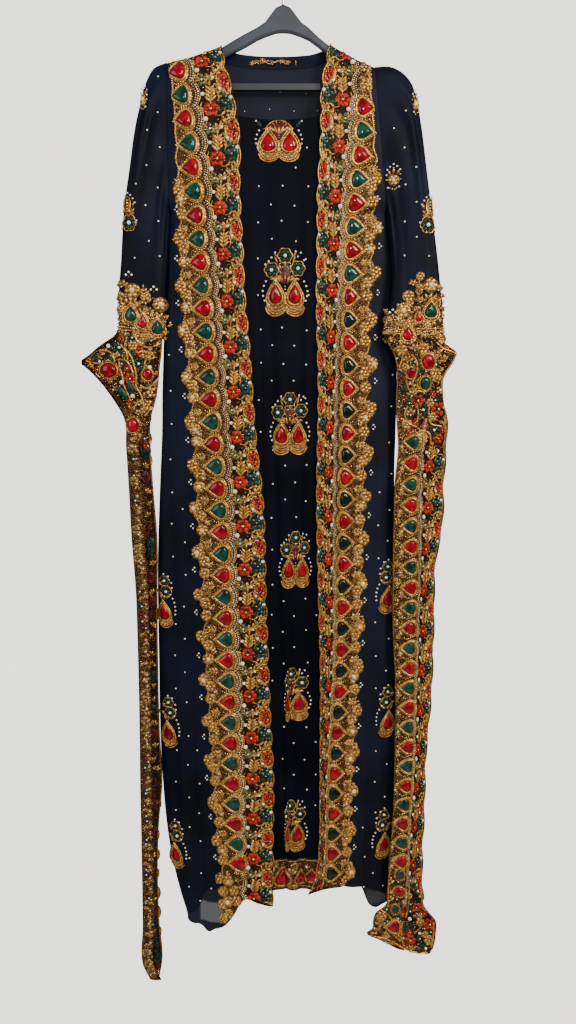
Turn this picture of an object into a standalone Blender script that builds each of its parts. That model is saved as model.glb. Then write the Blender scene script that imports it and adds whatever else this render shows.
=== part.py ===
"""A long beaded kaftan of sheer black cloth, hanging on a flat contoured hanger.

Lengths are in millimetres until a mesh is made. "Down" is the distance below the hook's
seat, x runs to the viewer's right and the front of the kaftan faces -Y.
"""

import math

import bmesh
import bpy
import numpy as np

MILLIMETRE = 0.001
CLOTH = 1.5  # wall of the sheer cloth
BEADED = 1.4  # ground of the beaded strips, under their raised beads
SEAM_GAP = 0.3
UNDERARM = 385.0  # lowest point of both armholes
ARM_DEPTH = 15.0  # half the depth of an armhole ring
SHOULDER_ROLL = 34.0  # the cloth turns over the hanger's arm within this distance
BLUNT = 3.0  # power of the blunt ovals at the armholes and shoulders
SQUARE_END = 330.0  # above this the body's section keeps its depth out to the armholes
SQUARE_FADE = 130.0
GEM_PITCH = 37.8  # from one large gem to the next, along both front bands
FIRST_GEM = 170.0
GEM_RISE = 2.6
RING_RISE = 1.1
SCALLOP = 1.6  # how far the bands' inner edge swings in each scallop
FLAT_RISE = 0.5  # rise of the small beads between the larger ones
SETTLE = 20.0  # length below the shoulder seam in which the wall's inner face drops clear of it
ROSETTE_REACH = 5.0  # how far every second outer rosette stands past its band
NECK = {"left": (-101.0, 125.0), "right": (76.0, 122.0)}
SHOULDER = {"left": (-191.0, 151.0), "right": (150.0, 158.0)}
SIGN = {"left": -1.0, "right": 1.0}


class Table:
    """Rows of named columns, read smoothly between the rows by their first column."""

    def __init__(self, names, rows):
        self.names = names.split()
        self.columns = dict(zip(self.names, np.array(rows, float).T))
        self.key = self.columns[self.names[0]]

    def at(self, name, where):
        """A Hermite curve through a column's values, held level past its two ends."""
        where = np.clip(np.asarray(where, float), self.key[0], self.key[-1])
        values = self.columns[name]
        slopes = np.gradient(values, self.key)
        row = np.clip(np.searchsorted(self.key, where) - 1, 0, len(self.key) - 2)
        width = self.key[row + 1] - self.key[row]
        t = (where - self.key[row]) / width
        start = values[row] * (1 + 2 * t) * (1 - t) ** 2 + slopes[row] * width * t * (1 - t) ** 2
        return start + values[row + 1] * t * t * (3 - 2 * t) - slopes[row + 1] * width * t * t * (1 - t)

    def rows(self):
        """Each row as a dictionary of its columns."""
        return [dict(zip(self.names, values)) for values in zip(*self.columns.values())]


# The body's two side edges and its depth, front and back, from shoulder to hem
BODY = Table("down left right front back", (
    (120, -191, 146.3, 13.5, 13.5),
    (200, -190.8, 154, 17, 16),
    (300, -190.4, 163.8, 21, 20),
    (385, -190, 172, 22, 21),
    (535, -198, 187, 23, 22),
    (690, -207, 189, 24, 23),
    (830, -210, 190, 25, 24),
    (975, -213, 201, 26, 25),
    (1150, -215, 205, 27, 26),
    (1334, -214, 207, 28, 27),
    (1450, -208, 206, 28, 28),
    (1530, -197, 203, 28, 28),
    (1644, -172, 195, 28, 28),
))

# Lines along the two front bands: open edge, pearl chain, gem row and outer edge
LEFT_BAND = Table("down inner pearl gem outer turn", (
    (125, -101, -154, -175, -184, 0),
    (165, -92, -151, -174, -183, 0),
    (193, -84, -145, -170, -181, 0),
    (228, -77, -140, -166, -178, 0),
    (280, -70, -132, -157, -178, 0),
    (340, -71, -126, -151, -180, 0),
    (400, -69, -122, -147, -180.5, 0),
    (458, -66, -118, -143, -182, 0),
    (517, -64, -113, -138, -180, 0),
    (600, -57, -108, -132.5, -175, 0),
    (770, -45, -96, -122, -165, 0),
    (860, -35, -92, -114.5, -161, 0),
    (1055, -29, -85, -105, -154, 0),
    (1260, -22, -78, -98.5, -144, 0),
    (1370, -17, -76, -94.5, -138, 0),
    (1465, -18, -74, -89, -130, 0),
    (1560, -19, -73, -81, -121, 0),
    (1660, -18, -72, -79, -113, 0),
))
RIGHT_BAND = Table("down inner pearl gem outer turn", (
    (122, 76, 122, 135, 142, 0),
    (165, 67, 121, 134.5, 142.5, 0),
    (193, 62, 118.5, 134.5, 143, 0),
    (228, 61, 116, 134.5, 146, 0),
    (262, 61, 113, 133, 150, 1),
    (306, 59, 107, 128.5, 158, 2),
    (357, 56, 103, 124, 161, 2),
    (410, 56, 100.5, 119, 163, 3),
    (463, 55.5, 98.5, 116.5, 164, 3),
    (517, 55, 96, 113.5, 159, 4),
    (690, 59, 91, 112, 157, 5),
    (861, 57, 89, 108, 150, 6),
    (1045, 61, 89.5, 105.5, 143, 6),
    (1144, 64, 89.5, 103.5, 140, 6),
    (1325, 65, 81, 95, 134, 5),
    (1410, 65, 78, 91.5, 131, 3),
    (1500, 64, 76, 90, 129, 0),
    (1540, 60, 74, 89, 128, 0),
    (1575, 52, 70, 87.5, 126, 0),
    (1600, 38, 62, 85, 124, 0),
))
BANDS = {"left": LEFT_BAND, "right": RIGHT_BAND}

# Hem lines, by place across
FRONT_HEM = Table("across down", (
    (-215, 1640), (-172, 1644), (-151, 1665), (-112, 1654), (-92, 1630), (-74, 1603), (-46, 1608),
    (-18, 1613), (24, 1597), (63, 1582), (97, 1578), (140, 1580), (156, 1614), (166, 1619), (205, 1612),
))
BACK_HEM = Table("across down", (
    (-215, 1640), (-172, 1644), (-120, 1638), (-40, 1620), (60, 1606), (140, 1606), (205, 1612),
))

# Soft folds: where each lies at the top and at the hem, where it starts, its height and half width
FOLD_COLUMNS = "start top hem height width"
SIDE_FOLDS = Table(FOLD_COLUMNS, (
    (560, -186, -176, 5, 11),
    (900, -196, -146, -4, 12),
    (600, 176, 168, 5, 12),
    (850, 178, 148, -4, 10),
))
BACK_FOLDS = Table(FOLD_COLUMNS, (
    (240, -150, -165, 5, 17),
    (300, -112, -128, -5, 18),
    (210, -66, -88, 7, 19),
    (330, -36, -44, -6, 18),
    (190, -6, 2, 7, 20),
    (300, 34, 44, -6, 17),
    (230, 72, 84, 7, 18),
    (420, 104, 122, -5, 17),
    (250, 132, 158, 5, 16),
))
CENTRE_FOLDS = Table(FOLD_COLUMNS, (
    (250, -34, 4, -2.5, 13),
    (480, -12, 20, 3.5, 11),
    (300, 24, 40, -4, 12),
))

# Palmette motifs raised on the inner front
MOTIFS = Table("down across width height", (
    (284, -7, 80, 76),
    (507, 3, 74, 112),
    (742, 11, 66, 106),
    (977, 21, 54, 100),
    (1218, 23, 52, 96),
    (1462, 21, 48, 96),
))

# Sleeve rails: outer edge from the shoulder, inner edge from the underarm, both down to the wrist
SLEEVE_OUTER = {
    "left": ((-191.4, 151), (-212, 160), (-223, 177), (-232, 205), (-242, 241), (-255, 317),
             (-266, 389), (-272, 466), (-277, 520), (-278, 586)),
    "right": ((150.4, 158), (176, 158), (194, 166.5), (210, 184), (218, 205), (226, 245),
              (237, 326), (248, 407), (257, 475), (264, 540), (268, 597)),
}
SLEEVE_INNER = {
    "left": ((-190.4, 385), (-194.5, 430), (-199, 500), (-202, 545), (-204, 590)),
    "right": ((172.4, 385), (177.6, 430), (181.6, 470), (180, 520), (174, 560), (168, 592)),
}
SLEEVE = {
    "left": Table("along middle depth gather", (
        (0.0, 0, 15, 0), (0.1, 0, 17, 3.2), (0.3, -2, 18, 2.6), (0.6, -5, 17, 1.6), (0.82, -7, 14, 1.2),
        (1.0, -8, 13, 0.6),
    )),
    "right": Table("along middle depth gather", (
        (0.0, 0, 15, 0), (0.1, -1, 17, 3.2), (0.3, -8, 17, 2.6), (0.6, -20, 15, 1.6), (0.82, -26, 13, 1.2),
        (1.0, -28, 12, 0.6),
    )),
}
CUFF_START = 0.82
SLEEVE_SIDES = 26
SLEEVE_GATHERS = 13

# Hanging tails: outer and inner edge, place of the middle, and how far the section bows forwards
TAILS = {
    "left": Table("down outer inner middle bow", (
        (590, -278, -205, -8, 13),
        (610, -312, -206, -8, 13),
        (636, -340, -209, -8, 12),
        (664, -314, -212, -8, 12),
        (696, -288, -217, -9, 11),
        (728, -269, -226, -10, 10),
        (780, -266, -228, -10, 9),
        (850, -263, -225, -10, 9),
        (940, -260, -218, -10, 9),
        (1026, -255, -218.5, -10, 9),
        (1110, -254, -220, -10, 8),
        (1295, -254, -219.5, -10, 8),
        (1387, -255, -217.5, -10, 8),
        (1459, -255, -226, -10, 8),
        (1654, -256, -229, -10, 8),
        (1730, -257, -225, -10, 7),
        (1764, -246, -231, -10, 4),
    )),
    "right": Table("down outer inner middle bow", (
        (597, 268, 170, -28, 12),
        (614, 290, 179, -28, 11),
        (632, 284, 188, -28, 10),
        (656, 272, 191, -27, 8),
        (690, 270, 193, -26, 6),
        (738, 277, 203, -26, 5),
        (780, 277, 204, -26, 5),
        (829, 274, 194, -26, 4),
        (921, 272, 189, -26, 4),
        (968, 264, 189, -26, 3),
        (1085, 262, 190, -26, 3),
        (1219, 260, 197, -26, 3),
        (1325, 253, 197, -27, 3),
        (1428, 252, 196, -27, 3),
        (1524, 250, 193, -27, 3),
        (1600, 254, 176, -27, 4),
        (1640, 278, 158, -27, 5),
        (1690, 273, 172, -27, 5),
        (1704, 270, 214, -27, 4),
    )),
}
TAIL_FIRST_GEM = {"left": 748.0, "right": 768.0}
TAIL_LAST_GEM = {"left": 1700.0, "right": 1630.0}
TAIL_GEM_COLUMN = {"left": 2, "right": 4}
TAIL_TILT = {"left": 4.0, "right": -5.0}  # the cuff's lower edge drops this far from outside to inside
CUFF_GAP = 0.5
LEFT_TAIL_FOLD = 15.0  # gap between the leaves of the left tail, folded lengthwise

# The hanger's board: upper and lower edge across its width
BOARD = Table("across upper lower", (
    (-208, 165, 177),
    (-204, 162, 176),
    (-191, 155, 172),
    (-179, 152.5, 169.5),
    (-168, 149.5, 167),
    (-156, 146, 163.5),
    (-145, 142, 160),
    (-123, 135.5, 153),
    (-101, 127.6, 146),
    (-85, 118.5, 138),
    (-62, 106, 127),
    (-42, 96, 116),
    (-30, 88.5, 111),
    (-20, 76, 107.5),
    (-12, 66, 105),
    (0, 61, 104),
    (12, 66, 105),
    (20, 76, 107.5),
    (30, 88.5, 111),
    (42, 97, 116),
    (58, 111.5, 127),
    (76, 124.6, 141),
    (88, 132, 149),
    (99, 138.4, 156),
    (122, 149.4, 166),
    (136, 154.5, 171.5),
    (150, 161, 175.5),
    (177, 167, 181),
    (190, 173, 185.5),
    (197, 178, 188),
))
BOARD_HALF = 5.0
BOARD_CLEARANCE = 1.3  # between the cloth and the board's top edge
BAR_TOP = 184.0
BAR_TALL = 10.0
BAR_HALF = 4.0
BAR_ENDS = (-178.0, 168.0)
BAR_POST = 9.0
WIRE = 2.0  # radius of the hook's wire
HOOK_RADIUS = 20.0

MATERIALS = {
    # name: sRGB colour, roughness, metallic
    "sheer_georgette": ((0.075, 0.078, 0.115), 0.75, 0.0),
    "gold_beadwork": ((0.72, 0.50, 0.20), 0.40, 0.6),
    "charcoal_plastic": ((0.235, 0.247, 0.275), 0.45, 0.0),
    "steel_wire": ((0.72, 0.72, 0.73), 0.25, 1.0),
}


def clear_scene():
    for thing in list(bpy.data.objects):
        bpy.data.objects.remove(thing, do_unlink=True)


def linear(channel):
    """One sRGB channel as the linear value that a shader takes."""
    if channel <= 0.04045:
        return channel / 12.92
    return ((channel + 0.055) / 1.055) ** 2.4


def material(name):
    found = bpy.data.materials.get(name)
    if found:
        return found
    colour, roughness, metallic = MATERIALS[name]
    made = bpy.data.materials.new(name)
    made.use_nodes = True
    shader = made.node_tree.nodes["Principled BSDF"]
    shader.inputs["Base Color"].default_value = (*map(linear, colour), 1.0)
    shader.inputs["Roughness"].default_value = roughness
    shader.inputs["Metallic"].default_value = metallic
    made.diffuse_color = (*colour, 1.0)
    return made


def grid_triangles(rows, columns, first, closed=False):
    """Two triangles for each cell of a grid; a closed grid's last column meets its first."""
    faces = []
    for row in range(rows - 1):
        for column in range(columns if closed else columns - 1):
            after = (column + 1) % columns
            a = first + row * columns + column
            b = first + row * columns + after
            c = first + (row + 1) * columns + after
            d = first + (row + 1) * columns + column
            faces += [(a, b, c), (a, c, d)]
    return faces


def strip_between(edge_a, edge_b):
    """Triangles between two edges that may have different numbers of points."""
    faces = []
    i = j = 0
    while i < len(edge_a) - 1 or j < len(edge_b) - 1:
        next_a = (i + 1) / (len(edge_a) - 1)
        next_b = (j + 1) / (len(edge_b) - 1)
        if j == len(edge_b) - 1 or (i < len(edge_a) - 1 and next_a <= next_b):
            faces.append((edge_a[i], edge_a[i + 1], edge_b[j]))
            i += 1
        else:
            faces.append((edge_a[i], edge_b[j + 1], edge_b[j]))
            j += 1
    return faces


def add_solid(name, points, faces, finish):
    """A closed mesh from points in millimetres, with its faces turned outwards."""
    mesh = bpy.data.meshes.new(name)
    place = np.asarray(points, float) * MILLIMETRE
    mesh.from_pydata(place.tolist(), [], faces)
    work = bmesh.new()
    work.from_mesh(mesh)
    bmesh.ops.recalc_face_normals(work, faces=work.faces)
    work.to_mesh(mesh)
    work.free()
    mesh.shade_smooth()
    mesh.set_sharp_from_angle(angle=math.radians(50))
    made = bpy.data.objects.new(name, mesh)
    made.data.materials.append(material(finish))
    bpy.context.scene.collection.objects.link(made)
    return made


def add_wall(name, outer, inner, finish):
    """A wall between an outer and an inner grid of points, joined along its four edges."""
    rows, columns = outer.shape[:2]
    back_rows, back_columns = inner.shape[:2]
    count = rows * columns
    front = np.arange(count).reshape(rows, columns)
    back = count + np.arange(back_rows * back_columns).reshape(back_rows, back_columns)
    faces = grid_triangles(rows, columns, 0)
    faces += [face[::-1] for face in grid_triangles(back_rows, back_columns, count)]
    faces += strip_between(back[0], front[0])
    faces += strip_between(front[-1], back[-1])
    faces += strip_between(front[:, 0], back[:, 0])
    faces += strip_between(back[:, -1], front[:, -1])
    points = np.concatenate([outer.reshape(-1, 3), inner.reshape(-1, 3)])
    return add_solid(name, points, [tuple(int(i) for i in face) for face in faces], finish)


def add_tube(name, outer, inner, finish):
    """A tube's wall between two closed grids, joined at its two open ends."""
    rows, columns = outer.shape[:2]
    count = rows * columns
    faces = grid_triangles(rows, columns, 0, closed=True)
    faces += [face[::-1] for face in grid_triangles(rows, columns, count, closed=True)]
    last = (rows - 1) * columns
    for column in range(columns):
        after = (column + 1) % columns
        faces += [(column, count + column, count + after), (column, count + after, after)]
        a, b = last + column, last + after
        faces += [(a, b, count + b), (a, count + b, count + a)]
    points = np.concatenate([outer.reshape(-1, 3), inner.reshape(-1, 3)])
    return add_solid(name, points, faces, finish)


def place(across, deep, down):
    """Points from places across, in depth and down."""
    across, deep, down = np.broadcast_arrays(across, deep, down)
    return np.stack([across, deep, -down], axis=-1).astype(float)


def edge_depth(down, side, inset=0.0):
    """Half the depth of a panel's side edge: an armhole ring's blunt oval, and nothing below it."""
    top = SHOULDER[side][1]
    middle = (top + UNDERARM) / 2
    half = (UNDERARM - top) / 2
    part = np.clip(1 - np.abs((down - middle) / half) ** BLUNT, 0, 1)
    return np.maximum(ARM_DEPTH * part ** (1 / BLUNT) - inset, 0)


def flat_seam(down, side):
    """How far the side edge is a flat seam, where the wall's thickness lies across: 0 to 1."""
    return np.clip(1 - edge_depth(down, side) / 6, 0, 1)


def shoulder_line(across):
    """How far down the shoulder seam lies: from neck to shoulder, sagging a little between them."""
    side_of = np.where(across < (NECK["left"][0] + NECK["right"][0]) / 2, 0, 1)
    result = np.zeros(np.shape(across))
    for index, side in enumerate(("left", "right")):
        (neck_x, neck_down), (end_x, end_down) = NECK[side], SHOULDER[side]
        part = np.clip((across - neck_x) / (end_x - neck_x), 0, 1)
        line = neck_down + (end_down - neck_down) * part + 2.5 * np.sin(math.pi * part)
        result = np.where(side_of == index, line, result)
    return result


def fold_height(folds, across, down, hem=1610.0):
    """The sum of soft ridges and troughs at a place on the cloth."""
    total = np.zeros(np.broadcast(across, down).shape)
    for fold in folds.rows():
        part = np.clip((down - fold["start"]) / (hem - fold["start"]), 0, 1)
        centre = fold["top"] + (fold["hem"] - fold["top"]) * part
        growth = np.minimum(1, 1.6 * part ** 0.7)
        total += fold["height"] * growth * np.exp(-(((across - centre) / fold["width"]) ** 2))
    return total


def body_depth(across, down, top, face, inset=0.0):
    """How far a body panel lies from the side seams' plane, outer surface or inset within it."""
    left, right = BODY.at("left", down), BODY.at("right", down)
    middle, half = (left + right) / 2, (right - left) / 2
    part = np.clip(np.abs(across - middle) / half, 0, 1)
    squareness = 2 + 6 * np.clip((SQUARE_END - down) / SQUARE_FADE, 0, 1)
    round_off = np.sqrt(np.clip(1 - part ** squareness, 0, 1))
    edge = np.where(across < middle, edge_depth(down, "left", inset), edge_depth(down, "right", inset))
    rise = np.clip((down - top - inset) / SHOULDER_ROLL, 0, 1)
    roll = np.clip(1 - (1 - rise) ** BLUNT, 0, 1) ** (1 / BLUNT)
    return SEAM_GAP / 2 + edge + ((BODY.at(face, down) - inset) * roll - edge) * round_off


SHOULDER_ROWS = (0.0, 1.2, 4.0, 11.0, 22.0, 36.0)  # distances below the shoulder seam
FRONT_COLUMNS = (0.0, 0.08, 0.28, 0.52, 0.76)  # shares of a side panel, from seam to band
ROSETTE_ROWS = 2  # gems from one rosette to the next


def robe_across(side, column, down):
    """Place across of one of a robe front's columns, the last three under its band."""
    band = BANDS[side]
    if column < len(FRONT_COLUMNS):
        edge, outer = BODY.at(side, down), band.at("outer", down)
        return edge + (outer - edge) * FRONT_COLUMNS[column]
    return band.at(("outer", "pearl", "inner")[column - len(FRONT_COLUMNS)], down)


def seam_top(across_at):
    """Where a column, given as a function of the level, meets the shoulder seam."""
    down = 140.0
    for _ in range(4):
        down = float(shoulder_line(np.array([across_at(down)]))[0])
    return down


def gem_shares(side):
    """Levels of the large gems as shares of the gem line below the shoulder's roll."""
    band = BANDS[side]
    top = seam_top(lambda down: band.at("gem", down)) + SHOULDER_ROWS[-1]
    hem = float(FRONT_HEM.at("down", band.at("gem", 1600.0)))
    levels = np.arange(FIRST_GEM, hem - 12, GEM_PITCH)
    levels = levels[levels > top + 8]
    return np.concatenate([[0.0], (levels - top) / (hem - top), [1.0]])


def levels_between(top, hem, shares):
    """Levels down one column: the shoulder's rows, then the shares of what is below them."""
    close = top + np.array(SHOULDER_ROWS[:-1])
    roll_end = top + SHOULDER_ROWS[-1]
    return np.concatenate([close, roll_end + (hem - roll_end) * shares])


def front_column(side, across_at, shares, inset, fold=0.0, turn=0.0, seam_share=0.0):
    """Points down one column of a robe front."""
    top = seam_top(across_at)
    hem = float(FRONT_HEM.at("down", across_at(1600.0)))
    down = levels_between(top, hem, shares)
    across = across_at(down)
    lower = down + inset * np.exp(-(down - top) / SETTLE)
    depth = body_depth(across, lower, top, "front", inset)
    depth = depth + fold * fold_height(SIDE_FOLDS, across, down) - turn * BANDS[side].at("turn", down)
    width = np.abs(BANDS[side].at("outer", down) - BODY.at(side, down))
    tuck = seam_share * np.clip(inset * flat_seam(down, side), -0.3 * width, 0.3 * width)
    return place(across - SIGN[side] * tuck, -depth, lower)


def robe_grid(side, inset, first=0):
    """A robe front's points in columns from its side seam to its open edge."""
    shares = gem_shares(side)
    columns = []
    count = len(FRONT_COLUMNS) + 3
    for column in range(first, count):
        on_side = column < len(FRONT_COLUMNS)
        fold = math.sin(math.pi * FRONT_COLUMNS[column]) if on_side else 0.0
        columns.append(front_column(
            side,
            lambda down, column=column: robe_across(side, column, down),
            shares,
            inset,
            fold=fold,
            turn=1.0 if column == count - 1 else 0.0,
            seam_share=1 - FRONT_COLUMNS[column] if on_side else 0.0,
        ))
    return np.stack(columns, axis=1)


# Rise of the beadwork in each column: at an even gem, between gems and at an odd gem
BAND_RELIEF = (
    (0.3, 0.2, 0.3),
    (0.7, 1.0, 0.7),
    (1.3, 0.9, 1.3),
    (GEM_RISE, RING_RISE, GEM_RISE),
    (1.3, 0.9, 1.3),
    (1.0, 0.5, 1.0),
    (1.3, 0.5, 0.3),
    (0.3, 0.8, 1.4),
    (0.7, 0.7, 0.7),
)


def band_places(side, down):
    """Shares across a band of its nine columns: 0 to 1 from outer edge to pearls, then to 2 inside."""
    band = BANDS[side]
    outer, pearl, gem = band.at("outer", down), band.at("pearl", down), band.at("gem", down)
    width = np.abs(pearl - outer)
    at_gem = np.abs(gem - outer) / width
    ring = np.minimum(7.0, 0.3 * np.abs(gem - outer) + 2) / width
    outer_ring = np.minimum(7.0, 0.4 * np.abs(gem - outer)) / width
    level = np.ones_like(down)
    return np.stack([
        0 * level, 0.3 * at_gem, at_gem - outer_ring, at_gem, at_gem + ring,
        level, 1.36 * level, 1.70 * level, 2 * level,
    ], axis=1)


def between_columns(grid, places):
    """Points at shares across a grid's columns, on the straight lines between them."""
    low = np.clip(np.floor(places).astype(int), 0, grid.shape[1] - 2)
    rows = np.arange(len(grid))[:, None]
    part = (places - low)[..., None]
    return grid[rows, low] * (1 - part) + grid[rows, low + 1] * part


def band_grid(side):
    """The raised face of a front band, two rows to each gem, moved out from the cloth's points."""
    ground = robe_grid(side, -SEAM_GAP, first=len(FRONT_COLUMNS))
    outward = robe_grid(side, -SEAM_GAP - 1.0, first=len(FRONT_COLUMNS)) - ground
    fine = np.arange(2 * len(ground) - 1) / 2
    low = np.floor(fine).astype(int)
    high = np.ceil(fine).astype(int)
    ground = (ground[low] + ground[high]) / 2
    outward = (outward[low] + outward[high]) / 2
    places = band_places(side, -ground[:, 1, 2])
    points = between_columns(ground, places)
    from_gem = np.arange(len(fine)) - 2 * len(SHOULDER_ROWS)
    below_roll = from_gem >= -1
    between = from_gem % 2 == 1
    odd_gem = from_gem % 4 == 2
    rosette = below_roll & (from_gem % (2 * ROSETTE_ROWS) == 0) & (from_gem > 12)
    rosette[-1] = False
    for column, (at_even, at_between, at_odd) in enumerate(BAND_RELIEF):
        relief = np.where(between, at_between, np.where(odd_gem, at_odd, at_even))
        relief = np.where(below_roll, relief, 0.5)
        relief[-1] = 0.4
        if column == 0:
            relief = np.where(rosette, 1.6, relief)
        direction = between_columns(outward, places[:, column:column + 1])[:, 0]
        points[:, column] += direction * (BEADED + relief)[:, None]
    points[:, 0, 0] += SIGN[side] * ROSETTE_REACH * rosette
    points[1:-1, -1, 0] -= SIGN[side] * SCALLOP * np.where(between, -1, 1)[1:-1]
    return points


BACK_NECK = Table("across down", (
    (-106, 124.5), (-99, 125.5), (-93, 129), (-76, 133.5), (-45, 137.5), (-12, 138.5), (25, 137.5), (52, 134),
    (69, 127), (75, 122.5), (81, 121),
))
NECK_STAND = 8.5  # the back neck's edge hangs this far behind the seams' plane
NECK_SETTLE = 16.0  # length below the neck's edge in which the back reaches its own depth
NECK_TURN = 4.0  # the back leaves the hanger's top this far outside each neck point
BACK_ROWS = 20
TRIM_TALL = 3  # rows of the back panel under the neck trim
TRIM_START = 5.0  # the trim starts this far inside each neck point


def back_shares():
    """Places across the back: close to the seams, at the neck's ends and evenly between."""
    left, right = SHOULDER["left"][0], SHOULDER["right"][0]
    turns = [NECK[side][0] + SIGN[side] * NECK_TURN for side in ("left", "right")]
    ends = [(turn - left) / (right - left) for turn in turns]
    behind = 1.5 * NECK_TURN / (right - left)
    neck = np.linspace(ends[0] + behind, ends[1] - behind, 11)
    parts = [[0.0, 0.012, 0.045], np.linspace(0.1, ends[0], 4), neck]
    parts += [np.linspace(ends[1], 0.9, 4), [0.955, 0.988, 1.0]]
    return np.concatenate(parts)


def back_grid(inset, shares, rows=None):
    """The back panel's points, from the shoulder and neck line to the hem."""
    columns = []
    for share in shares:
        def across_at(down, share=share):
            left, right = BODY.at("left", down), BODY.at("right", down)
            return left + (right - left) * share

        in_neck = NECK["left"][0] - 0.9 * NECK_TURN < across_at(135.0) < NECK["right"][0] + 0.9 * NECK_TURN
        top = float(BACK_NECK.at("down", across_at(135.0))) if in_neck else seam_top(across_at)
        hem = float(BACK_HEM.at("down", across_at(1600.0)))
        down = levels_between(top, hem, np.linspace(0, 1, BACK_ROWS + 1))
        across = across_at(down)
        stand = 1.0 if in_neck else 0.0
        lower = down + (1 - stand) * inset * np.exp(-(down - top) / SETTLE)
        depth = body_depth(across, lower, top, "back", inset * (1 - stand))
        away = np.exp(-(down - top) / NECK_SETTLE)
        depth = depth * (1 - stand * away) + stand * (NECK_STAND * away - inset)
        window = min(1.0, 7 * share, 7 * (1 - share))
        depth = depth + window * fold_height(BACK_FOLDS, across, down)
        side = "left" if share < 0.5 else "right"
        tuck = inset * flat_seam(down, side) * abs(2 * share - 1)
        columns.append(place(across - SIGN[side] * tuck, depth, lower)[:rows])
    return np.stack(columns, axis=1)


CENTRE_COLUMNS = 10
CENTRE_OVERLAP = 8.0  # the inner front runs this far behind each band
CENTRE_TOP = 236.0
CENTRE_SCOOP = 8.0
CENTRE_HEM = 1584.0
CENTRE_RECESS = 4.0
BEHIND = CLOTH + 0.5  # the inner front's face, measured in from the robe fronts' face
HEM_BAND_LEVELS = (1528.0, 1546.0, 1565.0)


def centre_levels():
    """Levels down the inner front: close over each motif, wider between them."""
    levels = []
    for motif in MOTIFS.rows():
        levels += list(motif["down"] + motif["height"] * np.linspace(-0.5, 0.5, 9))
    levels = [level for level in levels if CENTRE_TOP + CENTRE_SCOOP + 7 < level < CENTRE_HEM - 60]
    levels += [430.0, 645.0, 678.0, 850.0, 900.0, 1060.0, 1110.0, 1140.0, 1290.0, 1340.0, 1385.0]
    return np.array([CENTRE_TOP] + sorted(levels) + list(HEM_BAND_LEVELS) + [CENTRE_HEM])


def palmette(across, down):
    """Rise of the palmette motifs: an egg-shaped ground, a crown and two hanging drops."""
    rise = np.zeros(np.broadcast(across, down).shape)
    for motif in MOTIFS.rows():
        u = (across - motif["across"]) / (motif["width"] / 2)
        v = (down - motif["down"]) / (motif["height"] / 2)
        ground = np.clip(1.15 - (u * u * (1 + 0.25 * v) + v * v), 0, 0.5) * 2.2
        drops = np.exp(-(((np.abs(u) - 0.36) / 0.22) ** 2) - ((v - 0.28) / 0.3) ** 2)
        crown = np.exp(-((u / 0.4) ** 2) - ((v + 0.45) / 0.3) ** 2)
        rise += ground + 1.1 * drops + 0.9 * crown
    return rise


def centre_grid(inset, levels, shares, relief=0.0):
    """The inner front's points; it is sewn behind both bands and hangs back between them."""
    columns = []
    for share in shares:
        down = levels.copy()
        down[0] += CENTRE_SCOOP * (1 - (2 * share - 1) ** 2)
        held = np.minimum(down, 1522.0)
        left = LEFT_BAND.at("inner", down) - CENTRE_OVERLAP
        right = RIGHT_BAND.at("inner", held) + CENTRE_OVERLAP
        across = left + (right - left) * share
        window = math.sin(math.pi * share) ** 0.6 if 0 < share < 1 else 0.0
        turned = RIGHT_BAND.at("turn", held) * min(1.0, max(0.0, share - 0.5) * 2.6)
        depth = body_depth(across, down, 140.0, "front", inset) - CENTRE_RECESS * window - turned
        depth = depth + window * fold_height(CENTRE_FOLDS, across, down)
        depth = depth + relief * palmette(across, down) * min(1.0, 2 * window)
        columns.append(place(across, -depth, down))
    return np.stack(columns, axis=1)


def along_curve(points, share):
    """A place on a smooth curve through points, by its share of the length."""
    points = np.array(points, float)
    lengths = np.concatenate([[0], np.cumsum(np.hypot(*np.diff(points, axis=0).T))])
    curve = Table("length across down", np.column_stack([lengths, points]))
    return np.stack([curve.at(name, np.asarray(share) * lengths[-1]) for name in ("across", "down")])


def sleeve_grid(side, along, inset, relief=0.0):
    """Rings of a sleeve: blunt ovals from its outer rail to its inner rail."""
    outer = along_curve(SLEEVE_OUTER[side], along)[:, :, None]
    inner = along_curve(SLEEVE_INNER[side], along)[:, :, None]
    angle = 2 * math.pi * np.arange(SLEEVE_SIDES) / SLEEVE_SIDES
    cosine, sine = np.cos(angle), np.sin(angle)
    lengthwise = np.sign(cosine) * np.abs(cosine) ** (2 / BLUNT)
    frontwise = np.sign(sine) * np.abs(sine) ** (2 / BLUNT)
    middle, half = (outer + inner) / 2, (outer - inner) / 2
    reach = np.hypot(*half)
    place_on = middle + half * lengthwise * (1 - inset / reach)
    table = SLEEVE[side]
    depth = table.at("depth", along)[:, None] - inset
    uneven = 0.75 + 0.25 * np.sin(2.3 * np.arange(SLEEVE_SIDES) + (side == "left"))
    wave = np.where(np.arange(SLEEVE_SIDES) % 2, 1, -1) * uneven * np.abs(sine)
    gather = table.at("gather", along)[:, None] * wave
    deep = table.at("middle", along)[:, None] - frontwise * depth - np.sign(frontwise) * (gather + relief)
    return place(place_on[0], deep, place_on[1])


SLEEVE_ROWS = (0.0, 0.04, 0.1, 0.18, 0.27, 0.37, 0.48, 0.6, 0.71, CUFF_START)
CUFF_ROWS = (CUFF_START + 0.002, 0.86, 0.91, 0.96, 1.0)


def tail_levels(side):
    """Levels down a tail: its own wide top, then a row each gem pitch, then its point."""
    table = TAILS[side]
    first, last = TAIL_FIRST_GEM[side], TAIL_LAST_GEM[side]
    top = [level for level in table.key[1:] if level < first - 12]
    gems = np.arange(first, last, GEM_PITCH)
    low = [level for level in table.key if level > gems[-1] + 12]
    return np.array([table.key[0]] + top + list(gems) + low)


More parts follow.
